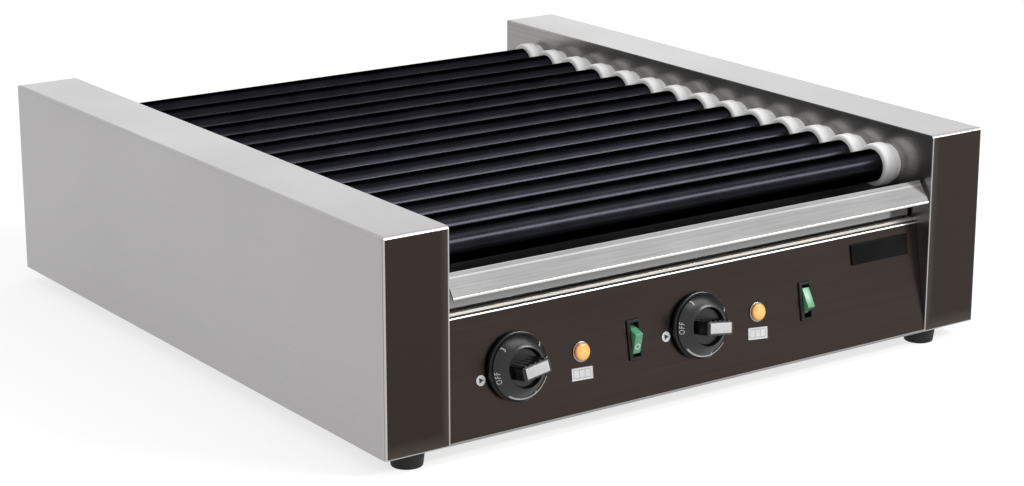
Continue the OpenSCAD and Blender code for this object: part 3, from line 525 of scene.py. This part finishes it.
def fine_speckle():
    group = bpy.data.node_groups.new("fine_speckle", "ShaderNodeTree")
    sockets = group.interface
    sockets.new_socket("Position", in_out="INPUT", socket_type="NodeSocketVector")
    sockets.new_socket("Grain Scale", in_out="INPUT", socket_type="NodeSocketFloat")
    sockets.new_socket("Cloud Scale", in_out="INPUT", socket_type="NodeSocketFloat")
    sockets.new_socket("Grain", in_out="OUTPUT", socket_type="NodeSocketFloat")
    sockets.new_socket("Cloud", in_out="OUTPUT", socket_type="NodeSocketFloat")
    nodes = group.nodes
    links = group.links
    given = nodes.new("NodeGroupInput")
    result = nodes.new("NodeGroupOutput")
    for scale, output, detail in (("Grain Scale", "Grain", 2), ("Cloud Scale", "Cloud", 3)):
        noise = nodes.new("ShaderNodeTexNoise")
        noise.inputs["Detail"].default_value = detail
        links.new(given.outputs["Position"], noise.inputs["Vector"])
        links.new(given.outputs[scale], noise.inputs["Scale"])
        links.new(noise.outputs["Fac"], result.inputs[output])
    return group


speckle_group = fine_speckle()


def place_speckle(nodes, links, place, grain_scale, cloud_scale):
    speckle = nodes.new("ShaderNodeGroup")
    speckle.node_tree = speckle_group
    speckle.inputs["Grain Scale"].default_value = grain_scale
    speckle.inputs["Cloud Scale"].default_value = cloud_scale
    links.new(place, speckle.inputs["Position"])
    return speckle


def moulded(name, dark, light, smooth, rough, grain=2500, bump=0.15, specular=0.5):
    material, nodes, links, shader, place = start_material(name)
    shader.inputs["Specular IOR Level"].default_value = specular
    speckle = place_speckle(nodes, links, place, grain, 60)
    tone = spread(nodes, links, speckle.outputs["Cloud"], 0, 1)
    links.new(blend_colours(nodes, links, tone, dark, light), shader.inputs["Base Color"])
    links.new(spread(nodes, links, speckle.outputs["Cloud"], smooth, rough), shader.inputs["Roughness"])
    relief(nodes, links, speckle.outputs["Grain"], bump, grain_depth, shader)
    return material


foot_profile = [(foot_bore, foot_h), (foot_bore, foot_seat), (4.2, foot_seat), (4.2, 0.4), (4.6, 0)]
foot_profile += arc(10.9, 1.1, 1.1, -90, -4)
foot_profile += [(13.3, 11.8)] + arc(12.7, 12.2, 0.8, 10, 90, 3) + [(foot_bore, foot_h)]
foot = lathe("foot", foot_profile, 40)
foot_rubber = moulded("foot_rubber", (0.010, 0.010, 0.010), (0.020, 0.020, 0.020), 0.55, 0.75,
                      grain=1800, bump=0.3, specular=0.3)
foot.data.materials.append(foot_rubber)
foot_spots = [(left_front_foot_x, front + foot_in), (foot_x, front + foot_in),
              (-foot_x, back - foot_in), (foot_x, back - foot_in)]
feet = copy_to(foot, [Matrix.Translation((x, y, 0)) for x, y in foot_spots], "rubber_feet")
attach(feet, "housing")
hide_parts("feet")

# Screws
# Pan-head steel screws with a cross recess: one up through each foot, eight up through the base
# pan into the panels' flanges, and three in the back of each tower.
head_h = 2.4
shank_r = 2
recess_l = 3.8 * mm
recess_w = 0.8 * mm
recess_h = 2.2 * mm
flange_mid = 7.8 * mm
plate_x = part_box("left_side_plate")[1].x
head_profile = [(0, -head_h)] + arc(1.6, -0.4, 2.0, -90, -5, 6)
head_profile += [(3.6, 0), (shank_r, 0), (shank_r, 5), (1.5, 6), (0, 6)]
screw = lathe("screw", head_profile, 32)
for turn in (0, math.pi / 2):
    bpy.ops.mesh.primitive_cube_add(size=1)
    blade = bpy.context.object
    across_head = Matrix.Rotation(turn, 4, "Z") @ Matrix.Translation((0, 0, -head_h * mm))
    put(blade, across_head @ Matrix.Diagonal((recess_l, recess_w, recess_h, 1)))
    cut_away(screw, blade)
screw_steel = brushed_metal("screw_steel", (0.45, 0.45, 0.46), (0.6, 0.6, 0.61), (300, 300, 300),
                            0.25, 0.4, cloud_scale=200)
screw.data.materials.append(screw_steel)
screw_places = [Matrix.Translation((x, y, foot_seat * mm)) for x, y in foot_spots]
for share in (-0.75, -0.25, 0.25, 0.75):
    for y in (front + flange_mid, back - flange_mid):
        screw_places.append(Matrix.Translation((share * plate_x, y, cover_foot)))
for side in (-1, 1):
    for share in (0.2, 0.5, 0.8):
        z = cover_foot + share * (cover_top - cover_foot)
        spot = Matrix.Translation((side * (abs(plate_x) + flange_mid), back, z))
        screw_places.append(spot @ Matrix.Rotation(math.pi / 2, 4, "X"))
screws = copy_to(screw, screw_places, "cross_head_screws")
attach(screws, "housing")
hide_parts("screws")

# Rollers
# Fourteen steel tubes with a satin black non-stick coating, open at both ends. Each turns in a
# bush in each side plate and carries a sprocket in the right-hand tower.
roller_z = (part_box("roller_tube_01")[0].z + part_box("roller_tube_01")[1].z) / 2
roller_numbers = [f"{number:02d}" for number in range(1, 15)]
coating_depth = 0.03 * mm
coating, nodes, links, shader, place = start_material("roller_coating")
shader.inputs["Metallic"].default_value = 1
shader.inputs["Specular Tint"].default_value = (0.12, 0.12, 0.14, 1)
speckle = place_speckle(nodes, links, place, 3000, 40)
tone = spread(nodes, links, speckle.outputs["Cloud"], 0, 1)
coal = blend_colours(nodes, links, tone, (0.011, 0.011, 0.014), (0.015, 0.015, 0.019))
links.new(coal, shader.inputs["Base Color"])
links.new(spread(nodes, links, speckle.outputs["Cloud"], 0.21, 0.26), shader.inputs["Roughness"])
relief(nodes, links, speckle.outputs["Grain"], 0.2, coating_depth, shader)
for number in roller_numbers:
    finish_node("roller_tube_" + number, coating)

# Bushes
# A white plastic bush at each end of each roller: a rounded collar that keeps fat away from the
# side plate, and a neck that snaps into the plate behind it.
bush_bore = 13.55
neck_r = 15.55
snap_r = 16.35
bush_profile = [(bush_bore, -18)] + arc(15.15, -15.4, 2.6, -90, 0) + arc(15.15, -7.6, 2.6, 0, 90)
bush_profile += [(neck_r, -5), (neck_r, 1.7), (snap_r, 1.7), (snap_r, 2.7), (neck_r, 3.7)]
bush_profile += [(bush_bore, 3.7), (bush_bore, -18)]
bush = lathe("bush", bush_profile, 40)
bush_white = moulded("bush_white", (0.86, 0.86, 0.86), (0.92, 0.92, 0.92), 0.38, 0.5, grain=1500, bump=0.08)
bush.data.materials.append(bush_white)
bush_places = []
for number in roller_numbers:
    low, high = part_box("roller_tube_" + number)
    y = (low.y + high.y) / 2
    for side in (-1, 1):
        spot = Matrix.Translation((side * abs(plate_x), y, roller_z))
        bush_places.append(spot @ Matrix.Rotation(side * math.pi / 2, 4, "Y"))
bushes = copy_to(bush, bush_places, "roller_collars")
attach(bushes, "housing")
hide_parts("roller_bushes")

# Heating elements and their supports
# A steel-sheathed rod heater lies still in each roller. Two zinc-plated support plates, one in
# each tower, hold the rods' ends.
sheath = brushed_metal("element_sheath", (0.10, 0.075, 0.055), (0.18, 0.14, 0.11), (40, 500, 500),
                       0.35, 0.5, cloud_scale=30)
zinc = brushed_metal("zinc_plate", (0.42, 0.43, 0.44), (0.55, 0.56, 0.58), (90, 90, 90),
                     0.3, 0.45, cloud_scale=45)
finish_node("heating_elements", sheath)
finish_node("heater_supports", zinc)

# Chain drive
# A grey enamelled gear motor on its zinc-plated bracket turns a sprocket in the right-hand tower.
# One oiled roller chain runs over the sprockets of all fourteen rollers and back to it.
enamel = moulded("motor_enamel", (0.07, 0.072, 0.078), (0.09, 0.092, 0.1), 0.35, 0.5, grain=900, bump=0.3)
sprocket_steel = brushed_metal("sprocket_steel", (0.14, 0.14, 0.145), (0.24, 0.24, 0.25), (200, 200, 200),
                               0.3, 0.45, cloud_scale=120)
chain_steel = brushed_metal("chain_steel", (0.06, 0.06, 0.065), (0.12, 0.12, 0.13), (250, 250, 250),
                            0.25, 0.4, cloud_scale=150)
finish_node("motor_bracket", zinc)
finish_node("gear_motor", enamel)
finish_node("drive_chain", chain_steel)
finish_node("drive_sprocket", sprocket_steel)
for number in roller_numbers:
    finish_node("roller_sprocket_" + number, sprocket_steel)

# Drip tray
# One folded sheet of satin steel that slides in under the rollers: a floor, a back wall and a front
# wall that folds over into a sloped lip with a turned-down edge, and two side walls.
low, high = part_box("drip_tray")
tray_half = high.x
tray_z = low.z
tray_t = 1 * mm
tray_outline = [(-1, 17.1), (-1, 18.2), (11, 34.1), (24, 21), (24, 1), (579, 1), (579, 18)]
tray_path = [(front + y * mm, tray_z + z * mm) for y, z in tray_outline]
tray_folds = [(1, 0.4 * mm), (2, 0.4 * mm), (3, 2 * mm), (4, 2 * mm), (5, 2 * mm)]
wall_front = front + 23 * mm
wall_l = 557 * mm
wall_low = tray_z + 0.5 * mm
wall_high = tray_z + 17.5 * mm
tray = fold_sheet("folded_tray", tray_path, tray_folds, tray_half, tray_t)
tray_walls = []
for side in (-1, 1):
    wall_x = side * (tray_half - tray_t / 2)
    wall = draw_line("tray_wall", [(wall_x, wall_front, wall_low), (wall_x, wall_front, wall_high)])
    bpy.ops.mesh.extrude_region_move(TRANSFORM_OT_translate={"value": (0, wall_l, 0)})
    bpy.ops.object.mode_set(mode="OBJECT")
    apply_modifier(wall, "SOLIDIFY", thickness=tray_t, offset=0)
    apply_modifier(wall, "BEVEL", width=0.35 * mm, segments=2)
    smooth_by_angle(40)
    tray_walls.append(wall)
tray = join_pieces([tray] + tray_walls, "folded_tray")
tray_steel, nodes, links, shader, place = start_material("tray_steel")
shader.inputs["Metallic"].default_value = 1
streaks = place_streaks(nodes, links, place, (14, 500, 500), 12)
tone = spread(nodes, links, streaks.outputs["Streak"], 0, 1)
satin = blend_colours(nodes, links, tone, (0.345, 0.345, 0.345), (0.43, 0.43, 0.43))
parts = nodes.new("ShaderNodeSeparateXYZ")
links.new(place, parts.inputs["Vector"])
# Painted highlights: a line on the sloped lip and another on its turned-down bead.
lip_highlight_ys = (front + 8.1 * mm, front + 8.9 * mm)
bead_highlight_ys = (front - 1.4 * mm, front - 0.85 * mm)
shade_zs = (tray_z + 2 * mm, tray_z + 14 * mm)
wall_ys = (front + 20 * mm, front + 26 * mm)
inside_ys = (front + 26 * mm, front + 600 * mm)
painted_lip_highlight = band_of(nodes, links, parts.outputs["Y"], *lip_highlight_ys)
with_lip_highlight = blend_colours(nodes, links, painted_lip_highlight, satin, (0.62, 0.62, 0.62))
painted_bead_highlight = band_of(nodes, links, parts.outputs["Y"], *bead_highlight_ys)
with_bead_highlight = blend_colours(nodes, links, painted_bead_highlight, with_lip_highlight, (0.62, 0.62, 0.62))
# Painted shade on the front wall under the lip, darker towards its top.
shade = spread(nodes, links, parts.outputs["Z"], 0, 1, *shade_zs)
shaded = blend_colours(nodes, links, shade, (0.25, 0.25, 0.245), (0.10, 0.10, 0.10))
front_wall = band_of(nodes, links, parts.outputs["Y"], *wall_ys)
walled = blend_colours(nodes, links, front_wall, with_bead_highlight, shaded)
# Painted shade inside the tray under the rollers.
inside = band_of(nodes, links, parts.outputs["Y"], *inside_ys)
links.new(blend_colours(nodes, links, inside, walled, (0.26, 0.26, 0.26)), shader.inputs["Base Color"])
polish = spread(nodes, links, streaks.outputs["Cloud"], 0.10, 0.13)
worn = spread(nodes, links, inside, 0, 0.26, 0, 1)
links.new(combine(nodes, links, "ADD", polish, worn), shader.inputs["Roughness"])
relief(nodes, links, streaks.outputs["Streak"], 0.03, scratch_depth, shader)
tray.data.materials.clear()
tray.data.materials.append(tray_steel)
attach(tray, "tray")
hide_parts("drip_tray")

# Thermostats
# Two cream-coloured capillary thermostats behind the panel, each with a turned steel shaft that
# comes out through the panel into its knob.
cream = moulded("thermostat_cream", (0.50, 0.46, 0.38), (0.58, 0.54, 0.46), 0.45, 0.6, grain=1200, bump=0.2)
shaft_steel = brushed_metal("shaft_steel", (0.42, 0.42, 0.43), (0.55, 0.55, 0.56), (400, 400, 60),
                            0.25, 0.35, cloud_scale=90)
finish_node("thermostats", cream)
finish_node("left_thermostat_shaft", shaft_steel)
finish_node("right_thermostat_shaft", shaft_steel)

# Knobs
# Black phenolic dial knobs: a rim, a cone with printed marks, a dish in its top and a grip bar with
# ribbed sides across the dish. A white plastic strip sits in a pocket in the bar's face.
knob_turns = (8.6, -7.4)
knob_bodies = ("left_dial", "right_dial")
knob_names = ("left_knob", "right_knob")
cone_foot = (24.3, 6.95)
cone_top = (18.3, 12.3)
cone_slope = math.atan2(cone_top[1] - cone_foot[1], cone_foot[0] - cone_top[0])
dish_floor = 10.2
knob_profile = [(3.02, 1.2), (25.7, 1.2), (26.2, 1.7), (26.2, 4.1), (26.0, 4.45), (25.6, 4.6), (24.9, 4.3)]
knob_profile += [(24.6, 4.6), (24.6, 6.4), cone_foot, cone_top, (17.6, 12.8), (15.8, 13.75), (15.3, 13.9)]
knob_profile += [(15.0, 13.6), (14.1, 10.5), (13.8, dish_floor), (0, dish_floor)]
bar_l = 25
bar_w = 11
bar_top = 28.4
bar_rim = 1.3 * mm
pocket_depth = 0.8 * mm
strip_l = 21.4
strip_w = 8.4
rib_pitch = 4.4
rib_sink = 0.15
mark_h = 6.2 * mm
mark_narrow = 0.75
mark_lift = 0.03
print_t = 0.05 * mm
dial_marks = [("O", -170.7, 22.3), ("F", -179.9, 22.3), ("F", -187, 22.3), ("3", 125, 22), ("2", 32, 22),
              ("1", 0, 22)]
band_outline = [(23.95, -0.05), (22.85, -0.05), (22.85, 0.08), (23.95, 0.08), (23.95, -0.05)]
band_start = math.radians(-35)
band_sweep = math.radians(99)
tick_angle = -73
tick_r = 22.2
knob_black = moulded("knob_black", (0.004, 0.004, 0.005), (0.007, 0.007, 0.008), 0.25, 0.32,
                     grain=2200, bump=0.05)
strip_white = moulded("strip_white", (0.60, 0.60, 0.61), (0.66, 0.66, 0.67), 0.25, 0.35,
                      grain=1500, bump=0.05)
mark_white = moulded("mark_white", (0.70, 0.70, 0.70), (0.78, 0.78, 0.78), 0.5, 0.6, grain=3000, bump=0.05)


def rounded_bar(name, length, width, low, high, corner):
    bpy.ops.object.select_all(action="DESELECT")
    bpy.ops.mesh.primitive_cube_add(size=1)
    piece = bpy.context.object
    piece.name = name
    middle = Matrix.Translation((0, 0, (low + high) / 2 * mm))
    put(piece, middle @ Matrix.Diagonal((length * mm, width * mm, (high - low) * mm, 1)))
    bpy.ops.object.mode_set(mode="EDIT")
    bpy.ops.mesh.select_all(action="DESELECT")
    bpy.ops.object.mode_set(mode="OBJECT")
    for edge in piece.data.edges:
        a, b = (piece.data.vertices[k].co for k in edge.vertices)
        edge.select = abs(a.z - b.z) > (high - low) * mm / 2
    bpy.ops.object.mode_set(mode="EDIT")
    bpy.ops.mesh.select_mode(type="EDGE")
    bpy.ops.mesh.bevel(offset=corner * mm, segments=5, affect="EDGES")
    bpy.ops.mesh.select_mode(type="VERT")
    bpy.ops.object.mode_set(mode="OBJECT")
    return piece


def select_faces(piece, test):
    bpy.ops.mesh.select_all(action="DESELECT")
    bpy.ops.object.mode_set(mode="OBJECT")
    for polygon in piece.data.polygons:
        polygon.select = test(polygon)
    bpy.ops.object.mode_set(mode="EDIT")


def soften_edges(piece, width, segments, angle=50):
    apply_modifier(piece, "BEVEL", width=width * mm, segments=segments, limit_method="ANGLE",
                   angle_limit=math.radians(angle))


def cone_n(radius):
    return cone_foot[1] + (cone_foot[0] - radius) * math.tan(cone_slope)


def on_cone(angle, radius):
    turn = Matrix.Rotation(math.radians(angle - 90), 4, "Z")
    spot = Matrix.Translation((0, radius * mm, (cone_n(radius) + mark_lift) * mm))
    return turn @ spot @ Matrix.Rotation(-cone_slope, 4, "X")


def knob_mark(text, angle, radius):
    bpy.ops.object.text_add()
    mark = bpy.context.object
    mark.data.body = text
    mark.data.align_x = "CENTER"
    mark.data.align_y = "CENTER"
    mark.data.size = mark_h
    mark.data.extrude = print_t
    bpy.ops.object.convert(target="MESH")
    mark = bpy.context.object
    put(mark, on_cone(angle, radius) @ Matrix.Diagonal((mark_narrow, 1, 1, 1)))
    return mark


for x, turn, body, name in zip(knob_xs, knob_turns, knob_bodies, knob_names):
    knob = lathe(name + "_skirt", knob_profile, 96, 30)
    bar = rounded_bar(name + "_bar", length=bar_l, width=bar_w, low=8, high=bar_top, corner=2)
    bpy.ops.object.mode_set(mode="EDIT")
    select_faces(bar, lambda face: face.normal.z > 0.9)
    bpy.ops.mesh.inset(thickness=bar_rim)
    bpy.ops.mesh.extrude_region_move(TRANSFORM_OT_translate={"value": (0, 0, -pocket_depth)})
    bpy.ops.object.mode_set(mode="OBJECT")
    soften_edges(bar, 0.3, 2)
    smooth_by_angle(30)
    ribs = []
    for side in (-1, 1):
        for k in range(5):
            rib = rounded_bar("rib", length=2.2, width=1.2, low=10.5, high=27.2, corner=0.55)
            smooth_by_angle(40)
            rib_y = side * (bar_w / 2 - rib_sink)
            put(rib, Matrix.Translation(((k - 2) * rib_pitch * mm, rib_y * mm, 0)))
            ribs.append(rib)
    knob = join_pieces([knob, bar] + ribs, name + "_dial")
    marks = [knob_mark(text, angle, radius) for text, angle, radius in dial_marks]
    band = draw_line("band", [(r * mm, 0, (cone_n(r) + lift) * mm) for r, lift in band_outline])
    bpy.ops.mesh.remove_doubles(threshold=weld)
    bpy.ops.mesh.select_all(action="SELECT")
    bpy.ops.mesh.spin(steps=40, angle=band_sweep, center=(0, 0, 0), axis=(0, 0, 1))
    bpy.ops.mesh.select_all(action="SELECT")
    bpy.ops.mesh.fill_holes(sides=4)
    bpy.ops.mesh.normals_make_consistent(inside=False)
    bpy.ops.object.mode_set(mode="OBJECT")
    put(band, Matrix.Rotation(band_start, 4, "Z"))
    tick = rounded_bar("tick", length=1.0, width=2.4, low=-0.06, high=0.05, corner=0.2)
    put(tick, on_cone(tick_angle, tick_r))
    prints = join_pieces(marks + [band, tick], name + "_marks")
    strip = rounded_bar(name + "_strip", length=strip_l, width=strip_w, low=27.6, high=28.5, corner=0.8)
    soften_edges(strip, 0.35, 3)
    smooth_by_angle(40)
    knob.data.materials.append(knob_black)
    prints.data.materials.append(mark_white)
    strip.data.materials.append(strip_white)
    for piece in (knob, prints, strip):
        put(piece, on_panel(x, row_s) @ Matrix.Rotation(math.radians(turn), 4, "Z"))
        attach(piece, body)
    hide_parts(name)
    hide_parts(name + "_insert")

# Pilot lamps
# An amber lens in a plated bezel with a barrel behind the panel. The bezel's dark colour is a painted
# reflection of the dark panel around it. The lens is slightly domed, deeper in colour towards its edge,
# and glows softly.
barrel_bore = 4.7
barrel_r = 6.3
barrel_end = -12
bezel_n = 1.2
lens_r = 6.7
lens_stem_r = 4.6
lens_edge_n = 1.6 * mm
lens_top_n = 4.0 * mm
bezel_profile = [(barrel_bore, barrel_end), (barrel_r, barrel_end), (barrel_r, 0), (8, 0)]
bezel_profile += arc(7.2, 0.4, 0.8, 0, 90, 4)
bezel_profile += [(6.6, bezel_n), (barrel_bore, bezel_n), (barrel_bore, barrel_end)]
lens_profile = [(0, -6), (lens_stem_r, -6), (lens_stem_r, bezel_n), (lens_r, bezel_n), (lens_r, 2.2)]
lens_profile += [(6.5, 2.7), (6.0, 3.1), (5.0, 3.5), (3.5, 3.8), (1.8, 3.95), (0, 4)]
bezel = lathe("bezel", bezel_profile, 48)
lens = lathe("lens", lens_profile, 48)
# The bezel's dark colour is a painted reflection of the dark panel around it.
bezel_chrome = brushed_metal("bezel_chrome", (0.24, 0.24, 0.24), (0.30, 0.30, 0.30), (300, 300, 300),
                             0.15, 0.22, cloud_scale=150)
amber, nodes, links, shader, place = start_material("amber_lens")
speckle = place_speckle(nodes, links, place, 900, 120)
panel_out = panel_frame.to_3x3() @ Vector((0, 0, 1))
face_n = panel_frame.to_translation().dot(panel_out)
height = nodes.new("ShaderNodeVectorMath")
height.operation = "DOT_PRODUCT"
links.new(place, height.inputs[0])
height.inputs[1].default_value = panel_out
depth = spread(nodes, links, height.outputs["Value"], 0, 1, face_n + lens_edge_n, face_n + lens_top_n)
glow = blend_colours(nodes, links, depth, (0.35, 0.10, 0.01), (1.0, 0.50, 0.14))
links.new(glow, shader.inputs["Base Color"])
links.new(glow, shader.inputs["Emission Color"])
shader.inputs["Emission Strength"].default_value = 0.35
links.new(spread(nodes, links, speckle.outputs["Cloud"], 0.12, 0.2), shader.inputs["Roughness"])
bezel.data.materials.append(bezel_chrome)
lens.data.materials.append(amber)
lamp_places = [on_panel(x, row_s) for x in lamp_xs]
bezels = copy_to(bezel, lamp_places, "lamp_bezels")
lenses = copy_to(lens, lamp_places, "lamp_lenses")
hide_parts("pilot_lamp_bezels")
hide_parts("pilot_lamp_lenses")
for piece in (bezels, lenses):
    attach(piece, "housing")

# Rocker switches
# A black plastic housing snapped into the panel, with a rim around its well, and a green paddle whose
# two faces meet in a ridge. The paddle rocks on two pins. Its lower face is marked O in white.
housing_black = moulded("switch_black", (0.009, 0.009, 0.009), (0.016, 0.016, 0.016), 0.4, 0.55,
                        grain=2000, bump=0.12, specular=0.25)
rim = rounded_bar("rim", length=13.4, width=31.2, low=0, high=1.6, corner=0.8)
soften_edges(rim, 0.4, 3)
box = rounded_bar("box", length=11.4, width=29.2, low=-22, high=0.4, corner=0.4)
apply_modifier(rim, "BOOLEAN", operation="UNION", object=box, solver="EXACT")
bpy.data.objects.remove(box)
well = rounded_bar("well", length=7.6, width=26.6, low=-12.3, high=3, corner=0.3)
cut_away(rim, well)
smooth_by_angle(30)
rim.data.materials.clear()
rim.data.materials.append(housing_black)
switch_boxes = copy_to(rim, [on_panel(x, row_s) for x in switch_xs], "switch_boxes")
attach(switch_boxes, "housing")
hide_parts("switch_housings")

green, nodes, links, shader, place = start_material("paddle_green")
speckle = place_speckle(nodes, links, place, 1500, 150)
tone = spread(nodes, links, speckle.outputs["Cloud"], 0, 1)
leaf = blend_colours(nodes, links, tone, (0.095, 0.34, 0.18), (0.125, 0.40, 0.225))
links.new(leaf, shader.inputs["Base Color"])
links.new(spread(nodes, links, speckle.outputs["Cloud"], 0.22, 0.32), shader.inputs["Roughness"])
relief(nodes, links, speckle.outputs["Grain"], 0.05, grain_depth, shader)
paddle_half = 3.6 * mm
pivot_n = -6.3
ridge_n = 14
face_slope = math.radians(40)
face_middle = 6.9
ring_drop = 1.5 * mm
ring_lift = 0.02
tilts = (-19, 19)
paddle_outline = [(5, -4), (12.66, 3.38), (0, ridge_n), (-12.66, 3.38), (-5, -4), (5, -4)]
pin_profile = [(0, -4.3), (1.0, -4.3), (1.2, -4.1), (1.2, 4.1), (1.0, 4.3), (0, 4.3)]
ring_profile = [(1.5, -0.05), (2.5, -0.05), (2.5, 0.06), (1.5, 0.06), (1.5, -0.05)]
ring_n = ridge_n - face_middle * math.tan(face_slope) + ring_lift
lower_face = Matrix.Translation((0, -face_middle * mm, ring_n * mm)) @ Matrix.Rotation(face_slope, 4, "X")
switch_bodies = ("left_switch", "right_switch")
switch_nodes = ("left_rocker", "right_rocker")
for x, tilt, body, node in zip(switch_xs, tilts, switch_bodies, switch_nodes):
    paddle = draw_line(node + "_paddle", [(-paddle_half, s * mm, n * mm) for s, n in paddle_outline])
    bpy.ops.mesh.remove_doubles(threshold=weld)
    bpy.ops.mesh.edge_face_add()
    bpy.ops.mesh.extrude_region_move(TRANSFORM_OT_translate={"value": (2 * paddle_half, 0, 0)})
    bpy.ops.mesh.select_all(action="SELECT")
    bpy.ops.mesh.normals_make_consistent(inside=False)
    bpy.ops.object.mode_set(mode="OBJECT")
    soften_edges(paddle, 0.5, 4, angle=25)
    smooth_by_angle(30)
    pin = lathe("pin", pin_profile, 24)
    put(pin, Matrix.Rotation(math.pi / 2, 4, "Y"))
    paddle = join_pieces([paddle, pin], node + "_paddle")
    ring = lathe(node + "_ring", ring_profile, 32)
    put(ring, lower_face @ Matrix.Translation((0, -ring_drop, 0)))
    paddle.data.materials.clear()
    paddle.data.materials.append(green)
    ring.data.materials.append(mark_white)
    for piece in (paddle, ring):
        put(piece, on_panel(x, row_s, pivot_n) @ Matrix.Rotation(math.radians(tilt), 4, "X"))
        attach(piece, body)
    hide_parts(node)

# Name plate
# A small bare plate of glossy black plastic with rounded edges, glued to the panel.
plate_x_mid = 191.5
plate_s_mid = 73.7
plate = rounded_bar("bare_plate", length=61.5, width=17, low=0, high=1.5, corner=0.8)
soften_edges(plate, 0.4, 3)
smooth_by_angle(40)
plate_black = moulded("plate_black", (0.004, 0.004, 0.004), (0.008, 0.008, 0.008), 0.25, 0.35,
                      grain=2000, bump=0.08, specular=0.06)
plate.data.materials.append(plate_black)
put(plate, on_panel(plate_x_mid, plate_s_mid))
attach(plate, "housing")
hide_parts("name_plate")

# Printed marks on the panel
# White print: beside each knob a disc with a dark pointer, and under each lamp a sign for the heated
# part, a box of three cells drawn with grey lines.
disc_spots = ((-203, 40.7), (-31.5, 42))
disc_profile = [(0, -0.05), (4, -0.05), (4, 0.05), (3.95, 0.1), (0, 0.1)]
pointer_r = 2.6 * mm
pointer_t = 0.1 * mm
pointer_back = 0.3 * mm
sign_spots = ((-112.7, 28.8, -3), (58.4, 28.6, -5))
sign_lines = ((0, 3.1, 15.6, 0.6), (0, -3.1, 15.6, 0.6), (-7.8, 0, 0.6, 6.8), (7.8, 0, 0.6, 6.8),
              (-2.6, 0, 0.6, 6.2), (2.6, 0, 0.6, 6.2))
mark_ink = moulded("mark_ink", (0.010, 0.010, 0.010), (0.020, 0.020, 0.020), 0.5, 0.6, bump=0.05)
line_grey = moulded("line_grey", (0.42, 0.42, 0.42), (0.48, 0.48, 0.48), 0.5, 0.6, bump=0.05)
for k, (x, s) in enumerate(disc_spots):
    disc = lathe("disc", disc_profile, 40)
    disc.data.materials.append(mark_white)
    bpy.ops.mesh.primitive_cylinder_add(vertices=3, radius=pointer_r, depth=pointer_t)
    pointer = bpy.context.object
    pointer_place = Matrix.Translation((-pointer_back, 0, pointer_t))
    put(pointer, pointer_place @ Matrix.Rotation(math.radians(-90), 4, "Z"))
    apply_modifier(pointer, "BEVEL", width=0.02 * mm, segments=1)
    pointer.data.materials.append(mark_ink)
    pointer_disc = join_pieces([disc, pointer], f"pointer_disc_{k + 1}")
    put(pointer_disc, on_panel(x, s))
    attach(pointer_disc, "housing")
for k, (x, s, turn) in enumerate(sign_spots):
    sign = rounded_bar("sign", length=19.5, width=9.4, low=-0.05, high=0.1, corner=0.5)
    sign.data.materials.append(mark_white)
    lines = []
    for line_x, line_s, line_w, line_h in sign_lines:
        line = rounded_bar("line", length=line_w, width=line_h, low=0.02, high=0.14, corner=0.1)
        line.data.materials.append(line_grey)
        put(line, Matrix.Translation((line_x * mm, line_s * mm, 0)))
        lines.append(line)
    zone_sign = join_pieces([sign] + lines, f"zone_sign_{k + 1}")
    put(zone_sign, on_panel(x, s) @ Matrix.Rotation(math.radians(turn), 4, "Z"))
    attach(zone_sign, "housing")

# Cable gland
# A black plastic gland in the rear panel, bored for the mains cord: a round flange, a nut inside and a
# ribbed sleeve that narrows to its tip.
gland_bore = 4.25
gland_end = -7.2
gland_r = 11
gland_neck_r = 8.2
sleeve_foot = 5
sleeve_taper = 1.75 / 15
rib_step = 2.6
gland_profile = [(gland_bore, gland_end), (gland_r, gland_end), (gland_r, -1.2), (gland_neck_r, -1.2)]
gland_profile += [(gland_neck_r, 0), (gland_r, 0)] + arc(9.8, 3.8, 1.2, 0, 90, 4)
gland_profile += [(gland_neck_r, sleeve_foot)]
for k in range(5):
    z = sleeve_foot + 1 + rib_step * k
    r = 8.0 - sleeve_taper * (z - sleeve_foot)
    gland_profile += [(r, z), (r, z + 1.3), (r - 0.8, z + 1.5), (r - 0.8, z + 2.4)]
gland_profile += [(6.25, 19.2), (5.9, 20), (gland_bore, 20), (gland_bore, gland_end)]
gland = lathe("ribbed_gland", gland_profile, 48)
gland_black = moulded("gland_black", (0.010, 0.010, 0.010), (0.018, 0.018, 0.018), 0.45, 0.6, grain=1500)
gland.data.materials.append(gland_black)
low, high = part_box("cable_gland")
gland_place = Matrix.Translation(((low.x + high.x) / 2, back, (low.z + high.z) / 2))
put(gland, gland_place @ Matrix.Rotation(-math.pi / 2, 4, "X"))
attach(gland, "housing")
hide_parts("cable_gland")
